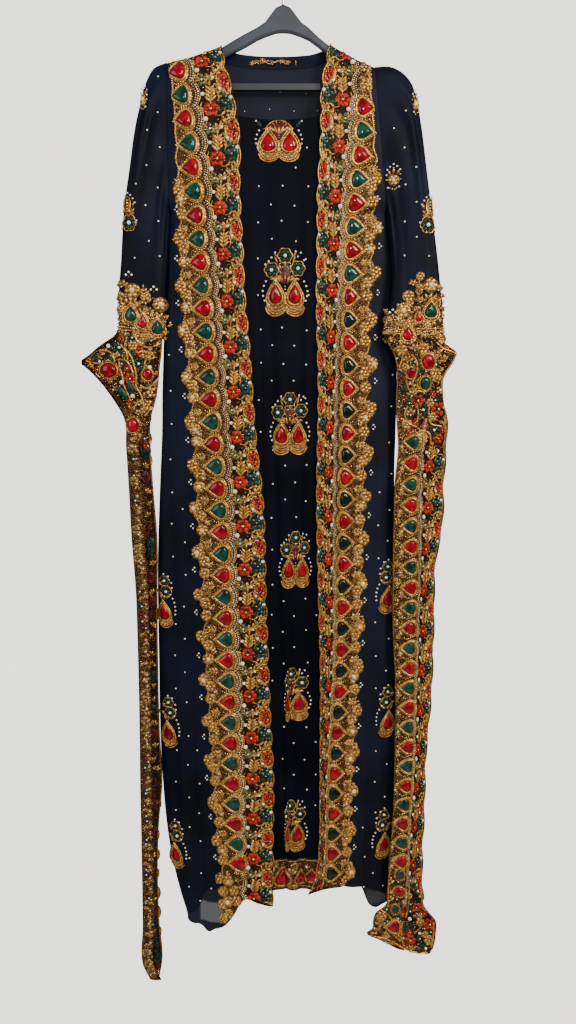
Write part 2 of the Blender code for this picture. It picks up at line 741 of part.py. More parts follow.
def tail_path(side, down):
    """One level's line of cloth, seen from above: (places across, places in depth)."""
    table = TAILS[side]
    outer, inner = table.at("outer", down), table.at("inner", down)
    middle, bow = table.at("middle", down), table.at("bow", down)
    share = np.array([0.0, 0.06, 0.24, 0.45, 0.66, 0.9, 1.0])
    bend = (1 - np.abs(1 - 2 * share) ** BLUNT) ** (1 / BLUNT)
    across = outer + (inner - outer) * share
    deep = middle - bow * bend
    if side == "right":
        return across, deep
    turned = 3 + 23 * np.clip((down - 650) / 90, 0, 1)
    toward = SIGN[side] * -1
    leaf = LEFT_TAIL_FOLD * np.clip((down - 600) / 120, 0.35, 1) * np.clip((1790 - down) / 60, 0.4, 1)
    front_across = outer + toward * np.array([turned, 0.66 * turned, 0.33 * turned, 1.2])
    front_deep = middle - bow * 0.8 - leaf * np.array([1.0, 1.05, 1.0, 0.75])
    main = slice(1, None)
    fold_across = np.array([outer - toward * 0.6])
    fold_deep = np.array([middle - bow * 0.8 - leaf * 0.35])
    return (
        np.concatenate([front_across, fold_across, across[main]]),
        np.concatenate([front_deep, fold_deep, deep[main]]),
    )


def tail_grids(side):
    """Both faces of a tail, half its thickness to each side of its line of cloth."""
    levels = tail_levels(side)
    faces = ([], [])
    for number, down in enumerate(levels):
        across, deep = tail_path(side, down)
        direction = np.stack([np.gradient(across), np.gradient(deep)])
        normal = np.stack([direction[1], -direction[0]]) / np.hypot(*direction)
        on_gem = TAIL_FIRST_GEM[side] - 1 < down < TAIL_LAST_GEM[side]
        relief = np.zeros(len(across))
        if on_gem:
            relief[1:-1] = FLAT_RISE
            relief[TAIL_GEM_COLUMN[side]] = GEM_RISE * (number % 2 == 0) + 2 * FLAT_RISE
        beaded, plain = BEADED / 2 + relief, BEADED / 2
        offsets = (plain, -beaded) if side == "left" else (beaded, -plain)
        for face, offset in zip(faces, offsets):
            flip = -SIGN[side]
            x = across + flip * normal[0] * offset
            y = deep + flip * normal[1] * offset
            share = np.clip((x - across[0]) / (across[-1] - across[0]), 0, 1)
            under_cuff = SLEEVE_OUTER[side][-1][1] + CUFF_GAP + TAIL_TILT[side] * share
            face.append(place(x, y, under_cuff if number == 0 else down))
    return [np.stack(face) for face in faces]


def board_rings():
    """Sections of the hanger's board: rounded along its top edge, chamfered below."""
    rings = []
    for row in BOARD.rows():
        across, upper, lower = row["across"], row["upper"], row["lower"]
        for side in ("left", "right"):
            ends = sorted((NECK[side][0], SHOULDER[side][0]))
            if ends[0] <= across <= ends[1]:
                upper = float(shoulder_line(np.array([across]))[0]) + CLOTH + BOARD_CLEARANCE
        tall = lower - upper
        half_section = [(1.2, 0.0), (3.7, 1.3), (BOARD_HALF, 4.0), (BOARD_HALF, tall - 3), (3.0, tall)]
        section = half_section + [(-deep, low) for deep, low in half_section[::-1]]
        rings.append([(across, deep, -(upper + low)) for deep, low in section])
    return np.array(rings)


def add_rod(name, rings, finish):
    """A solid rod through closed rings, with its two ends filled."""
    rows, columns = rings.shape[:2]
    faces = grid_triangles(rows, columns, 0, closed=True)
    faces.append(tuple(range(columns)))
    faces.append(tuple(range((rows - 1) * columns, rows * columns)))
    return add_solid(name, rings.reshape(-1, 3), [tuple(int(i) for i in face) for face in faces], finish)


def add_bar():
    """The trouser bar: a flat rod with a short post up to the board at each end."""
    left, right = BAR_ENDS
    board_low = [
        max(float(BOARD.at("lower", end)), float(BOARD.at("lower", end + step))) + 2 * SEAM_GAP
        for end, step in ((left, BAR_POST), (right, -BAR_POST))
    ]
    low = BAR_TOP + BAR_TALL
    outline = [
        (left, board_low[0]), (left + BAR_POST, board_low[0]), (left + BAR_POST, BAR_TOP),
        (right - BAR_POST, BAR_TOP), (right - BAR_POST, board_low[1]), (right, board_low[1]),
        (right, low - 3), (right - 3, low), (left + 3, low), (left, low - 3),
    ]
    rings = np.array([[(x, deep, -down) for x, down in outline] for deep in (-BAR_HALF, BAR_HALF)])
    return add_rod("hanger_bar", rings, "charcoal_plastic")


def add_hook():
    """The wire hook: an arc over the seat, a bend back to the middle and a short stem."""
    centre = -(HOOK_RADIUS - WIRE)
    arc = np.radians(np.arange(-15, 216, 15))
    path = [(HOOK_RADIUS * math.cos(a), centre + HOOK_RADIUS * math.sin(a)) for a in arc]
    path += [(-9.5, -36.5), (-3.2, -41.5), (-0.4, -47.5), (0.0, -53.0), (0.0, -60.4)]
    path = np.array(path)
    direction = np.gradient(path, axis=0)
    direction /= np.hypot(*direction.T)[:, None]
    turn = 2 * math.pi * np.arange(8) / 8
    rings = []
    for (x, z), (along_x, along_z) in zip(path, direction):
        rings.append(np.stack([
            x + WIRE * np.cos(turn) * along_z,
            WIRE * np.sin(turn),
            z - WIRE * np.cos(turn) * along_x,
        ], axis=-1))
    return add_rod("hanger_hook", np.array(rings), "steel_wire")


def build():
    clear_scene()
    add_rod("hanger_board", board_rings(), "charcoal_plastic")
    add_bar()
    add_hook()
    shares = back_shares()
    add_wall("back_panel", back_grid(0.0, shares), back_grid(CLOTH, shares), "sheer_georgette")
    across = SHOULDER["left"][0] + shares * (SHOULDER["right"][0] - SHOULDER["left"][0])
    in_neck = shares[(across > NECK["left"][0] + TRIM_START) & (across < NECK["right"][0] - TRIM_START)]
    trim_back = back_grid(CLOTH + SEAM_GAP, in_neck, TRIM_TALL)
    trim_face = back_grid(CLOTH + SEAM_GAP + BEADED, in_neck, TRIM_TALL)
    add_wall("back_neck_trim", trim_face, trim_back, "gold_beadwork")
    for side in ("left", "right"):
        add_wall(f"robe_front_{side}", robe_grid(side, 0.0), robe_grid(side, CLOTH), "sheer_georgette")
        band_back = robe_grid(side, -SEAM_GAP, first=len(FRONT_COLUMNS))
        add_wall(f"front_band_{side}", band_grid(side), band_back, "gold_beadwork")
        along = np.array(SLEEVE_ROWS)
        add_tube(f"sleeve_{side}", sleeve_grid(side, along, 0.0), sleeve_grid(side, along, CLOTH),
                 "sheer_georgette")
        along = np.array(CUFF_ROWS)
        drops = 1.4 * np.outer((0, 1, 0, 1, 0), np.arange(SLEEVE_SIDES) % 2)
        add_tube(f"cuff_{side}", sleeve_grid(side, along, -0.8, drops), sleeve_grid(side, along, CLOTH),
                 "gold_beadwork")
        add_wall(f"sleeve_tail_{side}", *tail_grids(side), "gold_beadwork")
    levels = centre_levels()
    shares = np.linspace(0, 1, CENTRE_COLUMNS + 1)
    coarse = np.unique(np.append(np.arange(0, len(levels), 3), len(levels) - 1))
    add_wall("inner_front", centre_grid(BEHIND, levels, shares, relief=1.0),
             centre_grid(BEHIND + CLOTH, levels, shares)[coarse], "sheer_georgette")
    low = levels[-len(HEM_BAND_LEVELS) - 1:]
    add_wall("inner_hem_band", centre_grid(BEHIND - SEAM_GAP - BEADED, low, shares[1:-1]),
             centre_grid(BEHIND - SEAM_GAP, low, shares[1:-1]), "gold_beadwork")


build()
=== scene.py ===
import math
import bpy
import mathutils
import numpy as np
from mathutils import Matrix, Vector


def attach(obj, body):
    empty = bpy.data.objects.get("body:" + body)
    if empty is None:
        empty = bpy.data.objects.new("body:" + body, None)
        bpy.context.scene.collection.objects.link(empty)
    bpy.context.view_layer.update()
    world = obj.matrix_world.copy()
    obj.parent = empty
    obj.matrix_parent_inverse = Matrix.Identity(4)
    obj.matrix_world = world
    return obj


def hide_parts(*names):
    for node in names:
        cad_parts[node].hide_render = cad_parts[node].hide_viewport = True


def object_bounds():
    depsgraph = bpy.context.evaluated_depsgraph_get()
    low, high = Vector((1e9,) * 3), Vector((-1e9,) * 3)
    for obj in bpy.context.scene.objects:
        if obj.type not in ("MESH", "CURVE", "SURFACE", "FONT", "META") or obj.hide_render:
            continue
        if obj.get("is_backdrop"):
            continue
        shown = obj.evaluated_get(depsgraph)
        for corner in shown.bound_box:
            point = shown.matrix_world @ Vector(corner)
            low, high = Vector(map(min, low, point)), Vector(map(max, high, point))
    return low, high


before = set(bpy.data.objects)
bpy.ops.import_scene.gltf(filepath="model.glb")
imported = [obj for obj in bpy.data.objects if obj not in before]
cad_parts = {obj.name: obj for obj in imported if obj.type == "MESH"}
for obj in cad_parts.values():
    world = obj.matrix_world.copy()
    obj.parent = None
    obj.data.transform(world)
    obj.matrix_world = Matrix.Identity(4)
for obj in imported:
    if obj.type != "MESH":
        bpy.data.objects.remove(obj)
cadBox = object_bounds()

# A long beaded kaftan of sheer black georgette on a contoured hanger.
# Lengths are in millimetres until a mesh is made: x runs to the right as the front is seen,
# y runs away from the viewer and "down" is the distance below the hook's seat.
millimetre = 0.001
sides = ("left", "right")
sign = {"left": -1.0, "right": 1.0}
ending = {"left": "Left", "right": "Right"}


# tables, meshes and places

def table(names, rows):
    # named columns of numbers; the first column is the one that the others are read by
    columns = dict(zip(names.split(), np.array(rows, float).T))
    columns["key"] = columns[names.split()[0]]
    return columns


def read(columns, name, where):
    # Hermite curve through a column: v0 h00(t) + s0 w h10(t) + v1 h01(t) + s1 w h11(t), level past its ends
    key, values = columns["key"], columns[name]
    where = np.clip(np.asarray(where, float), key[0], key[-1])
    slopes = np.gradient(values, key)
    row = np.clip(np.searchsorted(key, where) - 1, 0, len(key) - 2)
    width = key[row + 1] - key[row]
    t = (where - key[row]) / width
    start = values[row] * (1 + 2 * t) * (1 - t) ** 2 + slopes[row] * width * t * (1 - t) ** 2
    return start + values[row + 1] * t * t * (3 - 2 * t) - slopes[row + 1] * width * t * t * (1 - t)


def rowsOf(columns):
    # each row of a table as a dictionary
    names = [name for name in columns if name != "key"]
    return [dict(zip(names, values)) for values in zip(*(columns[name] for name in names))]


def at(across, deep, down):
    # points (x, y, z) = (across, deep, -down)
    across, deep, down = np.broadcast_arrays(across, deep, down)
    return np.stack([across, deep, -down], axis=-1).astype(float)


def ease(value, low, high):
    # 0 below low, 1 above high, smooth between: t t (3 - 2 t)
    t = np.clip((value - low) / (high - low), 0, 1)
    return t * t * (3 - 2 * t)


def makePiece(name, points, faces, finishes, finishOf=None, uvs=None):
    # one mesh from points in millimetres and an array of faces that all have the same number of corners
    mesh = bpy.data.meshes.new(name)
    mesh.vertices.add(len(points))
    mesh.vertices.foreach_set("co", (np.asarray(points) * millimetre).astype(np.float32).ravel())
    mesh.loops.add(faces.size)
    mesh.loops.foreach_set("vertex_index", faces.astype(np.int32).ravel())
    mesh.polygons.add(len(faces))
    mesh.polygons.foreach_set("loop_start", np.arange(0, faces.size, faces.shape[1], dtype=np.int32))
    mesh.update(calc_edges=True)
    mesh.polygons.foreach_set("use_smooth", np.ones(len(faces), bool))
    for finish in finishes:
        mesh.materials.append(finish)
    if finishOf is not None:
        mesh.polygons.foreach_set("material_index", finishOf.astype(np.int32))
    if uvs is not None:
        layer = mesh.uv_layers.new(name="cloth")
        layer.data.foreach_set("uv", uvs[faces.ravel()].astype(np.float32).ravel())
    piece = bpy.data.objects.new(name, mesh)
    bpy.context.scene.collection.objects.link(piece)
    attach(piece, "root")
    return piece


def gridFaces(rows, columns, closed=False, flip=False):
    # four-cornered faces between the rows and columns of a grid of points
    number = np.arange(rows * columns).reshape(rows, columns)
    if closed:
        number = np.concatenate([number, number[:, :1]], axis=1)
    a, b, c, d = number[:-1, :-1], number[:-1, 1:], number[1:, 1:], number[1:, :-1]
    faces = np.stack([a, b, c, d], axis=-1).reshape(-1, 4)
    return faces[:, ::-1] if flip else faces


def triangles(faces):
    # each four-cornered face cut in two
    return np.concatenate([faces[:, [0, 1, 2]], faces[:, [0, 2, 3]]])


def makeCloth(name, grid, finish, node, closed=False, flip=False, uvs=None):
    # a sheet of cloth through a grid of points, which stands for that node's solid
    uvs = None if uvs is None else uvs.reshape(-1, 2)
    faces = gridFaces(*grid.shape[:2], closed, flip)
    makePiece(name, grid.reshape(-1, 3), faces, [finish], uvs=uvs)
    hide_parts(node)


# finishes

def colour(code):
    # sRGB hex to a linear colour
    channels = [int(code[i:i + 2], 16) / 255 for i in (1, 3, 5)]
    return [c / 12.92 if c <= 0.04045 else ((c + 0.055) / 1.055) ** 2.4 for c in channels] + [1.0]


def addNode(tree, kind, settings=(), links=()):
    # one node, its settings by attribute or socket name, and its links from other nodes' sockets
    node = tree.nodes.new(kind)
    for name, value in dict(settings).items():
        if isinstance(name, str) and hasattr(node, name):
            setattr(node, name, value)
        else:
            node.inputs[name].default_value = value
    for name, source in dict(links).items():
        tree.links.new(source, node.inputs[name])
    return node


def newFinish(name, **sockets):
    # a material with one Principled shader and plain values on its own sockets
    made = bpy.data.materials.new(name)
    made.use_nodes = True
    shader = made.node_tree.nodes["Principled BSDF"]
    for socket, value in sockets.items():
        shader.inputs[socket.replace("_", " ")].default_value = value
    return made, made.node_tree, shader


def mottled(tree, shader, dark, light, scale):
    # colour that wanders between two tones, with patches of about 1000 / scale millimetres
    place = addNode(tree, "ShaderNodeTexCoord")
    noise = addNode(tree, "ShaderNodeTexNoise", {"Scale": scale, "Detail": 3.0},
                    {"Vector": place.outputs["Object"]})
    ramp = addNode(tree, "ShaderNodeValToRGB", {}, {"Fac": noise.outputs["Fac"]})
    for element, position, code in zip(ramp.color_ramp.elements, (0.35, 0.65), (dark, light)):
        element.position = position
        element.color = colour(code)
    tree.links.new(ramp.outputs["Color"], shader.inputs["Base Color"])
    return place, noise


def bumped(tree, shader, height, strength, depth):
    # a bump from another node's height, depth in metres
    bump = addNode(tree, "ShaderNodeBump", {"Strength": strength, "Distance": depth}, {"Height": height})
    tree.links.new(bump.outputs["Normal"], shader.inputs["Normal"])


def grained(tree, shader, place, size, detail, strength, depth):
    # a fine grain, its grains size millimetres apart
    grain = addNode(tree, "ShaderNodeTexNoise", {"Scale": 1000 / size, "Detail": detail},
                    {"Vector": place.outputs["Object"]})
    bumped(tree, shader, grain.outputs["Fac"], strength, depth)


def worked(name, dark, light, scale, ribs=0.0, ribDepth=0.0006, **sockets):
    # a finish that wanders between two tones, ribbed where it is asked for
    made, tree, shader = newFinish(name, **sockets)
    place, noise = mottled(tree, shader, dark, light, scale)
    if ribs:
        bumped(tree, shader, noise.outputs["Fac"], ribs, ribDepth)
    return made


def georgette(name, cover, window=None, dark="#04060f", light="#0b1024", shine=0.11):
    # crepe-twisted sheer cloth: matt near-black that lets a little of what is behind it through
    made, tree, shader = newFinish(name, Roughness=0.62, Alpha=cover, Specular_IOR_Level=shine)
    place, noise = mottled(tree, shader, dark, light, 9.0)
    # crepe grain is 0.3 mm; drawn at 1.4 mm so that it shows
    grained(tree, shader, place, 1.4, 2.0, 0.25, 0.0006)
    if window:
        # a patch lets more light through, four soft edges multiplied: on the left a pleat hanging below the
        # panel behind it, on the right a painted fold highlight
        left, right, top, bottom, openness = window
        axes = addNode(tree, "ShaderNodeSeparateXYZ", {}, {"Vector": place.outputs["Object"]})
        share = None
        for axis, start, end in (("X", left - 2, left + 2), ("X", right + 2, right - 2),
                                 ("Z", -bottom - 2, -bottom + 2), ("Z", -top + 2, -top - 2)):
            edge = addNode(tree, "ShaderNodeMapRange",
                           {1: start * millimetre, 2: end * millimetre, 3: 0.0, 4: 1.0},
                           {"Value": axes.outputs[axis]})
            inside = edge.outputs["Result"]
            if share is not None:
                product = addNode(tree, "ShaderNodeMath", {"operation": "MULTIPLY"}, {0: share, 1: inside})
                inside = product.outputs["Value"]
            share = inside
        through = addNode(tree, "ShaderNodeMapRange", {1: 0.0, 2: 1.0, 3: cover, 4: openness},
                          {"Value": share})
        tree.links.new(through.outputs["Result"], shader.inputs["Alpha"])
    return made


def beadedGround():
    # the strips' ground: black net under the vine, gold zari couching with dark eyelets further out.
    # It reads the strip's own UV map, in centimetres: x outwards from the pearl line, y down the strip
    made, tree, shader = newFinish("zariNetGround", Roughness=0.5, Specular_IOR_Level=0.06)
    cloth = addNode(tree, "ShaderNodeUVMap", {"uv_map": "cloth"})
    onCloth = {"Vector": cloth.outputs["UV"]}
    axes = addNode(tree, "ShaderNodeSeparateXYZ", {}, onCloth)
    # eyelets of guipure 3.5 mm apart
    net = addNode(tree, "ShaderNodeTexVoronoi", {"feature": "DISTANCE_TO_EDGE", "Scale": 10 / 3.5}, onCloth)
    thread = addNode(tree, "ShaderNodeMapRange", {1: 0.03, 2: 0.13, 3: 1.0, 4: 0.0},
                     {"Value": net.outputs["Distance"]})
    patch = addNode(tree, "ShaderNodeTexNoise", {"Scale": 1.6, "Detail": 2.0}, onCloth)
    outside = addNode(tree, "ShaderNodeMapRange", {1: -0.35, 2: 0.05, 3: 0.18, 4: 0.92},
                      {"Value": axes.outputs["X"]})
    share = addNode(tree, "ShaderNodeMath", {"operation": "MULTIPLY"},
                    {0: thread.outputs["Result"], 1: outside.outputs["Result"]})
    gold = addNode(tree, "ShaderNodeMix", {"data_type": "RGBA", 6: colour("#3c2410"), 7: colour("#a87a46")},
                   {"Factor": patch.outputs["Fac"]})
    both = addNode(tree, "ShaderNodeMix", {"data_type": "RGBA", 6: colour("#080406")},
                   {"Factor": share.outputs["Value"], 7: gold.outputs[2]})
    tree.links.new(both.outputs[2], shader.inputs["Base Color"])
    metal = addNode(tree, "ShaderNodeMath", {"operation": "MULTIPLY", 1: 0.8}, {0: share.outputs["Value"]})
    tree.links.new(metal.outputs["Value"], shader.inputs["Metallic"])
    bumped(tree, shader, share.outputs["Value"], 0.6, 0.0008)
    return made


def stone(name, dark, light):
    # foil-backed glass: deep colour and a hard small highlight
    return worked(name, dark, light, 90.0, Roughness=0.1, Specular_IOR_Level=0.3)


def silkThread(name, dark, light):
    # satin-stitched floss with a soft shine
    return worked(name, dark, light, 160.0, 0.3, Roughness=0.42, Specular_IOR_Level=0.2)


def pearl(name, dark, light):
    # glass pearl: milky with a clear coat
    return worked(name, dark, light, 120.0, Roughness=0.22, Coat_Weight=0.8, Coat_Roughness=0.04)


def mouldedPlastic(name, dark, light):
    # charcoal ABS with a moulded grain, drawn at 1.2 mm so that it shows
    made, tree, shader = newFinish(name, Roughness=0.46)
    place, noise = mottled(tree, shader, dark, light, 14.0)
    grained(tree, shader, place, 1.2, 1.0, 0.12, 0.0003)
    return made


cloth = georgette("sheerGeorgette", 0.996)
# a darker copy of the same georgette for the inner front, set back between the bands: painted shade
innerCloth = georgette("shadedGeorgette", 0.997, dark="#020309", light="#070816", shine=0.06)
frontCloth = {
    "left": georgette("singleGeorgette", 0.996, (-153, -110, 1610, 1649, 0.952)),
    # the right front in lighter tones, with a more see-through patch by the hem: painted highlight on a fold
    "right": georgette("paintedHighlightGeorgette", 0.996, (152, 186, 1588, 1612, 0.985), dark="#0a0b16", light="#131729"),
}
ground = beadedGround()
finishes = {
    # gold metal thread wound on a core: warm, bright where it turns to the light
    "gold": worked("goldZari", "#744c1e", "#e0ab58", 300.0, Roughness=0.34, Metallic=0.8),
    # gilt-lined glass beads: the brightest points of the gold
    "gilt": worked("giltBead", "#c89446", "#ffdfa0", 330.0, Roughness=0.2, Metallic=0.85),
    # the outer lace's thread, older and duller than the rest
    "antique": worked("dulledGold", "#4a3418", "#c09458", 260.0, Roughness=0.4, Metallic=0.75),
    # flat rows of couched gold thread under the raised work: darker, with a ribbed grain
    "couched": worked("couchedGold", "#2c1a0d", "#a07240", 420.0, 0.5, 0.0008, Roughness=0.5, Metallic=0.5,
                      Specular_IOR_Level=0.15),
    # silver-lined glass seed beads of the chain: pale and bright
    "silver": worked("silverLinedBead", "#b08a5c", "#ffeccc", 300.0, Roughness=0.16, Metallic=0.35),
    "ruby": stone("rubyGlass", "#540008", "#a00018"),
    "emerald": stone("emeraldGlass", "#041e17", "#104838"),
    # the same green glass darker, where the right strip turns away: painted shade
    "darkEmerald": stone("paintedShadeEmeraldGlass", "#000503", "#052018"),
    "pearl": pearl("glassPearl", "#e2d6bc", "#fffaec"),
    "goldPearl": pearl("goldenPearl", "#b88c3e", "#fbe2a8"),
    "coral": silkThread("coralFloss", "#5e0a06", "#bc2c12"),
    "leaf": silkThread("greenFloss", "#03140f", "#0f4030"),
    "sage": silkThread("sageFloss", "#1c2412", "#56603a"),
    "dullRed": silkThread("reverseRed", "#22090a", "#5c1414"),
    "dullGreen": silkThread("reverseGreen", "#04120e", "#0c2c24"),
}
plastic = mouldedPlastic("mouldedCharcoalPlastic", "#282c33", "#343a43")
# the same charcoal plastic darker on the hanger's bar: painted shade
barPlastic = mouldedPlastic("shadedCharcoalPlastic", "#15181e", "#1c2028")
# plated steel wire, faintly drawn along its length
steel = worked("platedSteelWire", "#a9abae", "#cfd1d3", 300.0, Roughness=0.24, Metallic=1.0)
# matt off-white paint
floorPaint = worked("paleFloor", "#dcdad6", "#e2e0dc", 3.0, Roughness=0.9)
print("finishes made")


# the garment's surfaces, the same as the solids' but with finer folds

body = {
    "seamGap": 0.15, "underarm": 385.0, "armDepth": 15.0, "shoulderRoll": 34.0, "blunt": 3.0,
    "squareEnd": 330.0, "squareFade": 130.0,
    "neck": {"left": (-101.0, 125.0), "right": (76.0, 122.0)},
    "shoulder": {"left": (-191.0, 151.0), "right": (150.0, 158.0)},
}

bodyShape = table("down left right front back", (
    (120, -191, 146.3, 13.5, 13.5), (200, -190.8, 154, 17, 16), (300, -190.4, 163.8, 21, 20),
    (385, -190.4, 172.4, 22, 21), (535, -200.5, 188.5, 23, 22), (600, -204, 192.5, 23.5, 22.5),
    (690, -208, 194.5, 24, 23), (760, -210, 194, 24.5, 23.5), (830, -214, 193, 25, 24),
    (975, -221, 201, 26, 25), (1150, -222.5, 205, 27, 26), (1334, -221.5, 207, 28, 27),
    (1404, -218.5, 206.5, 28, 28),
    (1442, -216, 206, 28, 28), (1500, -210, 204, 28, 28), (1559, -200, 202, 28, 28),
    (1617, -186, 197, 28, 28),
    (1644, -178, 195, 28, 28),
))
band = {
    "left": table("down inner pearl gem outer turn", (
        (125, -101, -154, -175, -184, 0), (165, -92, -151, -174, -183, 0), (193, -84, -145, -170, -181, 0),
        (228, -77, -140, -166, -178, 0), (280, -70, -132, -157, -178, 0), (340, -71, -126, -151, -180, 0),
        (400, -69, -122, -147, -180.5, 0), (458, -66, -118, -143, -182, 0), (517, -64, -113, -138, -180, 0),
        (600, -57, -108, -132.5, -175, 0), (770, -45, -96, -122, -165, 0), (860, -35, -92, -114.5, -161, 0),
        (1055, -29, -85, -105, -154, 0), (1260, -22, -78, -98.5, -144, 0), (1370, -17, -76, -94.5, -138, 0),
        (1465, -18, -74, -89, -130, 0), (1560, -19, -73, -81, -121, 0), (1660, -18, -72, -79, -113, 0),
    )),
    "right": table("down inner pearl gem outer turn", (
        (122, 76, 122, 135, 142, 0), (165, 67, 121, 134.5, 142.5, 0), (193, 62, 118.5, 134.5, 143, 0),
        (228, 61, 116, 134.5, 146, 0), (262, 61, 113, 133, 150, 1), (306, 59, 107, 128.5, 158, 2),
        (357, 56, 103, 124, 161, 2), (410, 56, 100.5, 119, 163, 3), (463, 55.5, 98.5, 116.5, 164, 3),
        (517, 55, 96, 113.5, 159, 4), (690, 59, 91, 112, 157, 5), (861, 57, 89, 108, 150, 6),
        (1045, 61, 89.5, 105.5, 143, 6), (1144, 64, 89.5, 103.5, 140, 6), (1325, 65, 81, 95, 134, 5),
        (1410, 65, 78, 91.5, 131, 3), (1500, 64, 76, 90, 129, 0), (1540, 60, 74, 89, 128, 0),
        (1575, 52, 70, 87.5, 126, 0), (1600, 38, 62, 85, 124, 0),
    )),
}
frontHem = table("across down", (
    (-215, 1650), (-184, 1655), (-172, 1657), (-160, 1660), (-151, 1668), (-130, 1662), (-112, 1655),
    (-92, 1632), (-74, 1603), (-46, 1608), (-18, 1613),
    (24, 1597), (63, 1582), (97, 1578), (140, 1580), (156, 1614), (166, 1619), (205, 1612),
))
backHem = table("across down", (
    (-215, 1640), (-168, 1640), (-152, 1614), (-116, 1608), (-40, 1612), (60, 1602), (140, 1604), (205, 1612),
))
backNeck = table("across down", (
    (-106, 124.5), (-99, 125.5), (-93, 129), (-76, 133.5), (-45, 137.5), (-12, 138.5), (25, 137.5), (52, 134),
    (69, 127), (75, 122.5), (81, 121),
))

# folds: levels of both ends, place across at both, height (a trough below 0) and half width
foldNames = "start end top hem height width"
sideFolds = table(foldNames, (
    (560, 1640, -186, -176, 5, 11), (900, 1640, -196, -146, -4, 12), (600, 1640, 176, 168, 5, 12),
    (850, 1640, 178, 148, -4, 10), (300, 900, -184, -190, -2.5, 5), (700, 1500, -178, -160, 2.5, 5),
    (1050, 1640, -166, -158, -2.5, 4), (1200, 1640, -150, -136, 2.5, 5), (420, 1100, 170, 182, -2.5, 5),
    (760, 1560, 166, 158, 2.2, 4), (1040, 1640, 186, 180, -2.4, 5), (1250, 1640, 150, 142, 2.2, 4),
))
backFolds = table(foldNames, (
    (240, 1640, -150, -165, 5, 17), (300, 1640, -112, -128, -5, 18), (210, 1640, -66, -88, 7, 19),
    (330, 1640, -36, -44, -6, 18), (190, 1640, -6, 2, 7, 20), (300, 1640, 34, 44, -6, 17),
    (230, 1640, 72, 84, 7, 18), (420, 1640, 104, 122, -5, 17), (250, 1640, 132, 158, 5, 16),
    (330, 1200, -132, -140, 2.4, 6), (480, 1640, -90, -104, -2.6, 7), (640, 1640, -52, -64, 2.8, 6),
    (380, 1350, -20, -18, -2.4, 6), (560, 1640, 16, 22, 2.6, 7), (450, 1250, 52, 60, -2.6, 6),
    (700, 1640, 90, 100, 2.8, 7), (520, 1500, 118, 134, 2.2, 6), (820, 1640, -176, -184, -3, 8),
    (900, 1640, 166, 178, -3, 8),
))
centreFolds = table(foldNames, (
    (250, 1600, -34, 4, -2.5, 13), (480, 1600, -12, 20, 3.5, 11), (300, 1600, 24, 40, -4, 12),
    (330, 1100, -44, -22, -2.4, 4), (420, 1600, -24, 6, -2.6, 4), (610, 1600, 4, 30, -2.2, 4),
    (360, 1000, 38, 44, 2.2, 4), (900, 1600, 26, 48, 2.4, 5), (1180, 1600, -4, 12, 2.2, 5),
))


def foldHeight(folds, across, down):
    # sum of ridges h g(down) exp(-((across - centre(down)) / width)^2), each growing in from its start
    total = np.zeros(np.broadcast(across, down).shape)
    for fold in rowsOf(folds):
        part = np.clip((down - fold["start"]) / (1610 - fold["start"]), 0, 1)
        centre = fold["top"] + (fold["hem"] - fold["top"]) * part
        growth = np.minimum(1, 1.6 * part ** 0.7)
        if fold["end"] < 1600:
            growth = growth * (1 - ease(down, fold["end"] - 260, fold["end"]))
        total += fold["height"] * growth * np.exp(-(((across - centre) / fold["width"]) ** 2))
    return total


def edgeDepth(down, side):
    # half the depth of an armhole ring's blunt oval: D (1 - |(down - m) / h|^3)^(1/3), 0 below the underarm
    top = body["shoulder"][side][1]
    middle, half = (top + body["underarm"]) / 2, (body["underarm"] - top) / 2
    part = np.clip(1 - np.abs((down - middle) / half) ** body["blunt"], 0, 1)
    return body["armDepth"] * part ** (1 / body["blunt"])


def shoulderLine(across):
    # level of the shoulder seam: straight from the neck point to the shoulder point with a 2.5 mm sag
    onLeft = across < (body["neck"]["left"][0] + body["neck"]["right"][0]) / 2
    lines = []
    for side in sides:
        (neckX, neckDown), (endX, endDown) = body["neck"][side], body["shoulder"][side]
        part = np.clip((across - neckX) / (endX - neckX), 0, 1)
        lines.append(neckDown + (endDown - neckDown) * part + 2.5 * np.sin(math.pi * part))
    return np.where(onLeft, lines[0], lines[1])


def bodyDepth(across, down, top, face, inset=0.0):
    # distance of a body panel from the plane of the side seams: edge + (depth roll - edge) sqrt(1 - p^n)
    left, right = read(bodyShape, "left", down), read(bodyShape, "right", down)
    middle, half = (left + right) / 2, (right - left) / 2
    part = np.clip(np.abs(across - middle) / half, 0, 1)
    squareness = 2 + 6 * np.clip((body["squareEnd"] - down) / body["squareFade"], 0, 1)
    roundOff = np.sqrt(np.clip(1 - part ** squareness, 0, 1))
    edge = np.where(across < middle, edgeDepth(down, "left"), edgeDepth(down, "right"))
    rise = np.clip((down - top) / body["shoulderRoll"], 0, 1)
    roll = np.clip(1 - (1 - rise) ** body["blunt"], 0, 1) ** (1 / body["blunt"])
    return body["seamGap"] + edge + ((read(bodyShape, face, down) - inset) * roll - edge) * roundOff


def robeDepth(side, across, down):
    # a robe front's outer face: body depth, plus side folds outside the band, less the turn of its free edge
    rails = band[side]
    outer, pearlAt, inner = (read(rails, name, down) for name in ("outer", "pearl", "inner"))
    edge = read(bodyShape, side, down)
    window = np.sin(math.pi * np.clip((across - edge) / (outer - edge), 0, 1))
    turned = np.clip((across - pearlAt) / (inner - pearlAt), 0, 1) * read(rails, "turn", down)
    depth = bodyDepth(across, down, shoulderLine(across), "front")
    return depth + window * foldHeight(sideFolds, across, down) - turned


def robeAcross(side, share, down):
    # place across at a share: 0 at the side seam, 1 at the band's outer edge and 2 at its inner edge
    rails = band[side]
    edge = read(bodyShape, side, down)
    outer, inner = read(rails, "outer", down), read(rails, "inner", down)
    return np.where(share < 1, edge + (outer - edge) * share, outer + (inner - outer) * (share - 1))


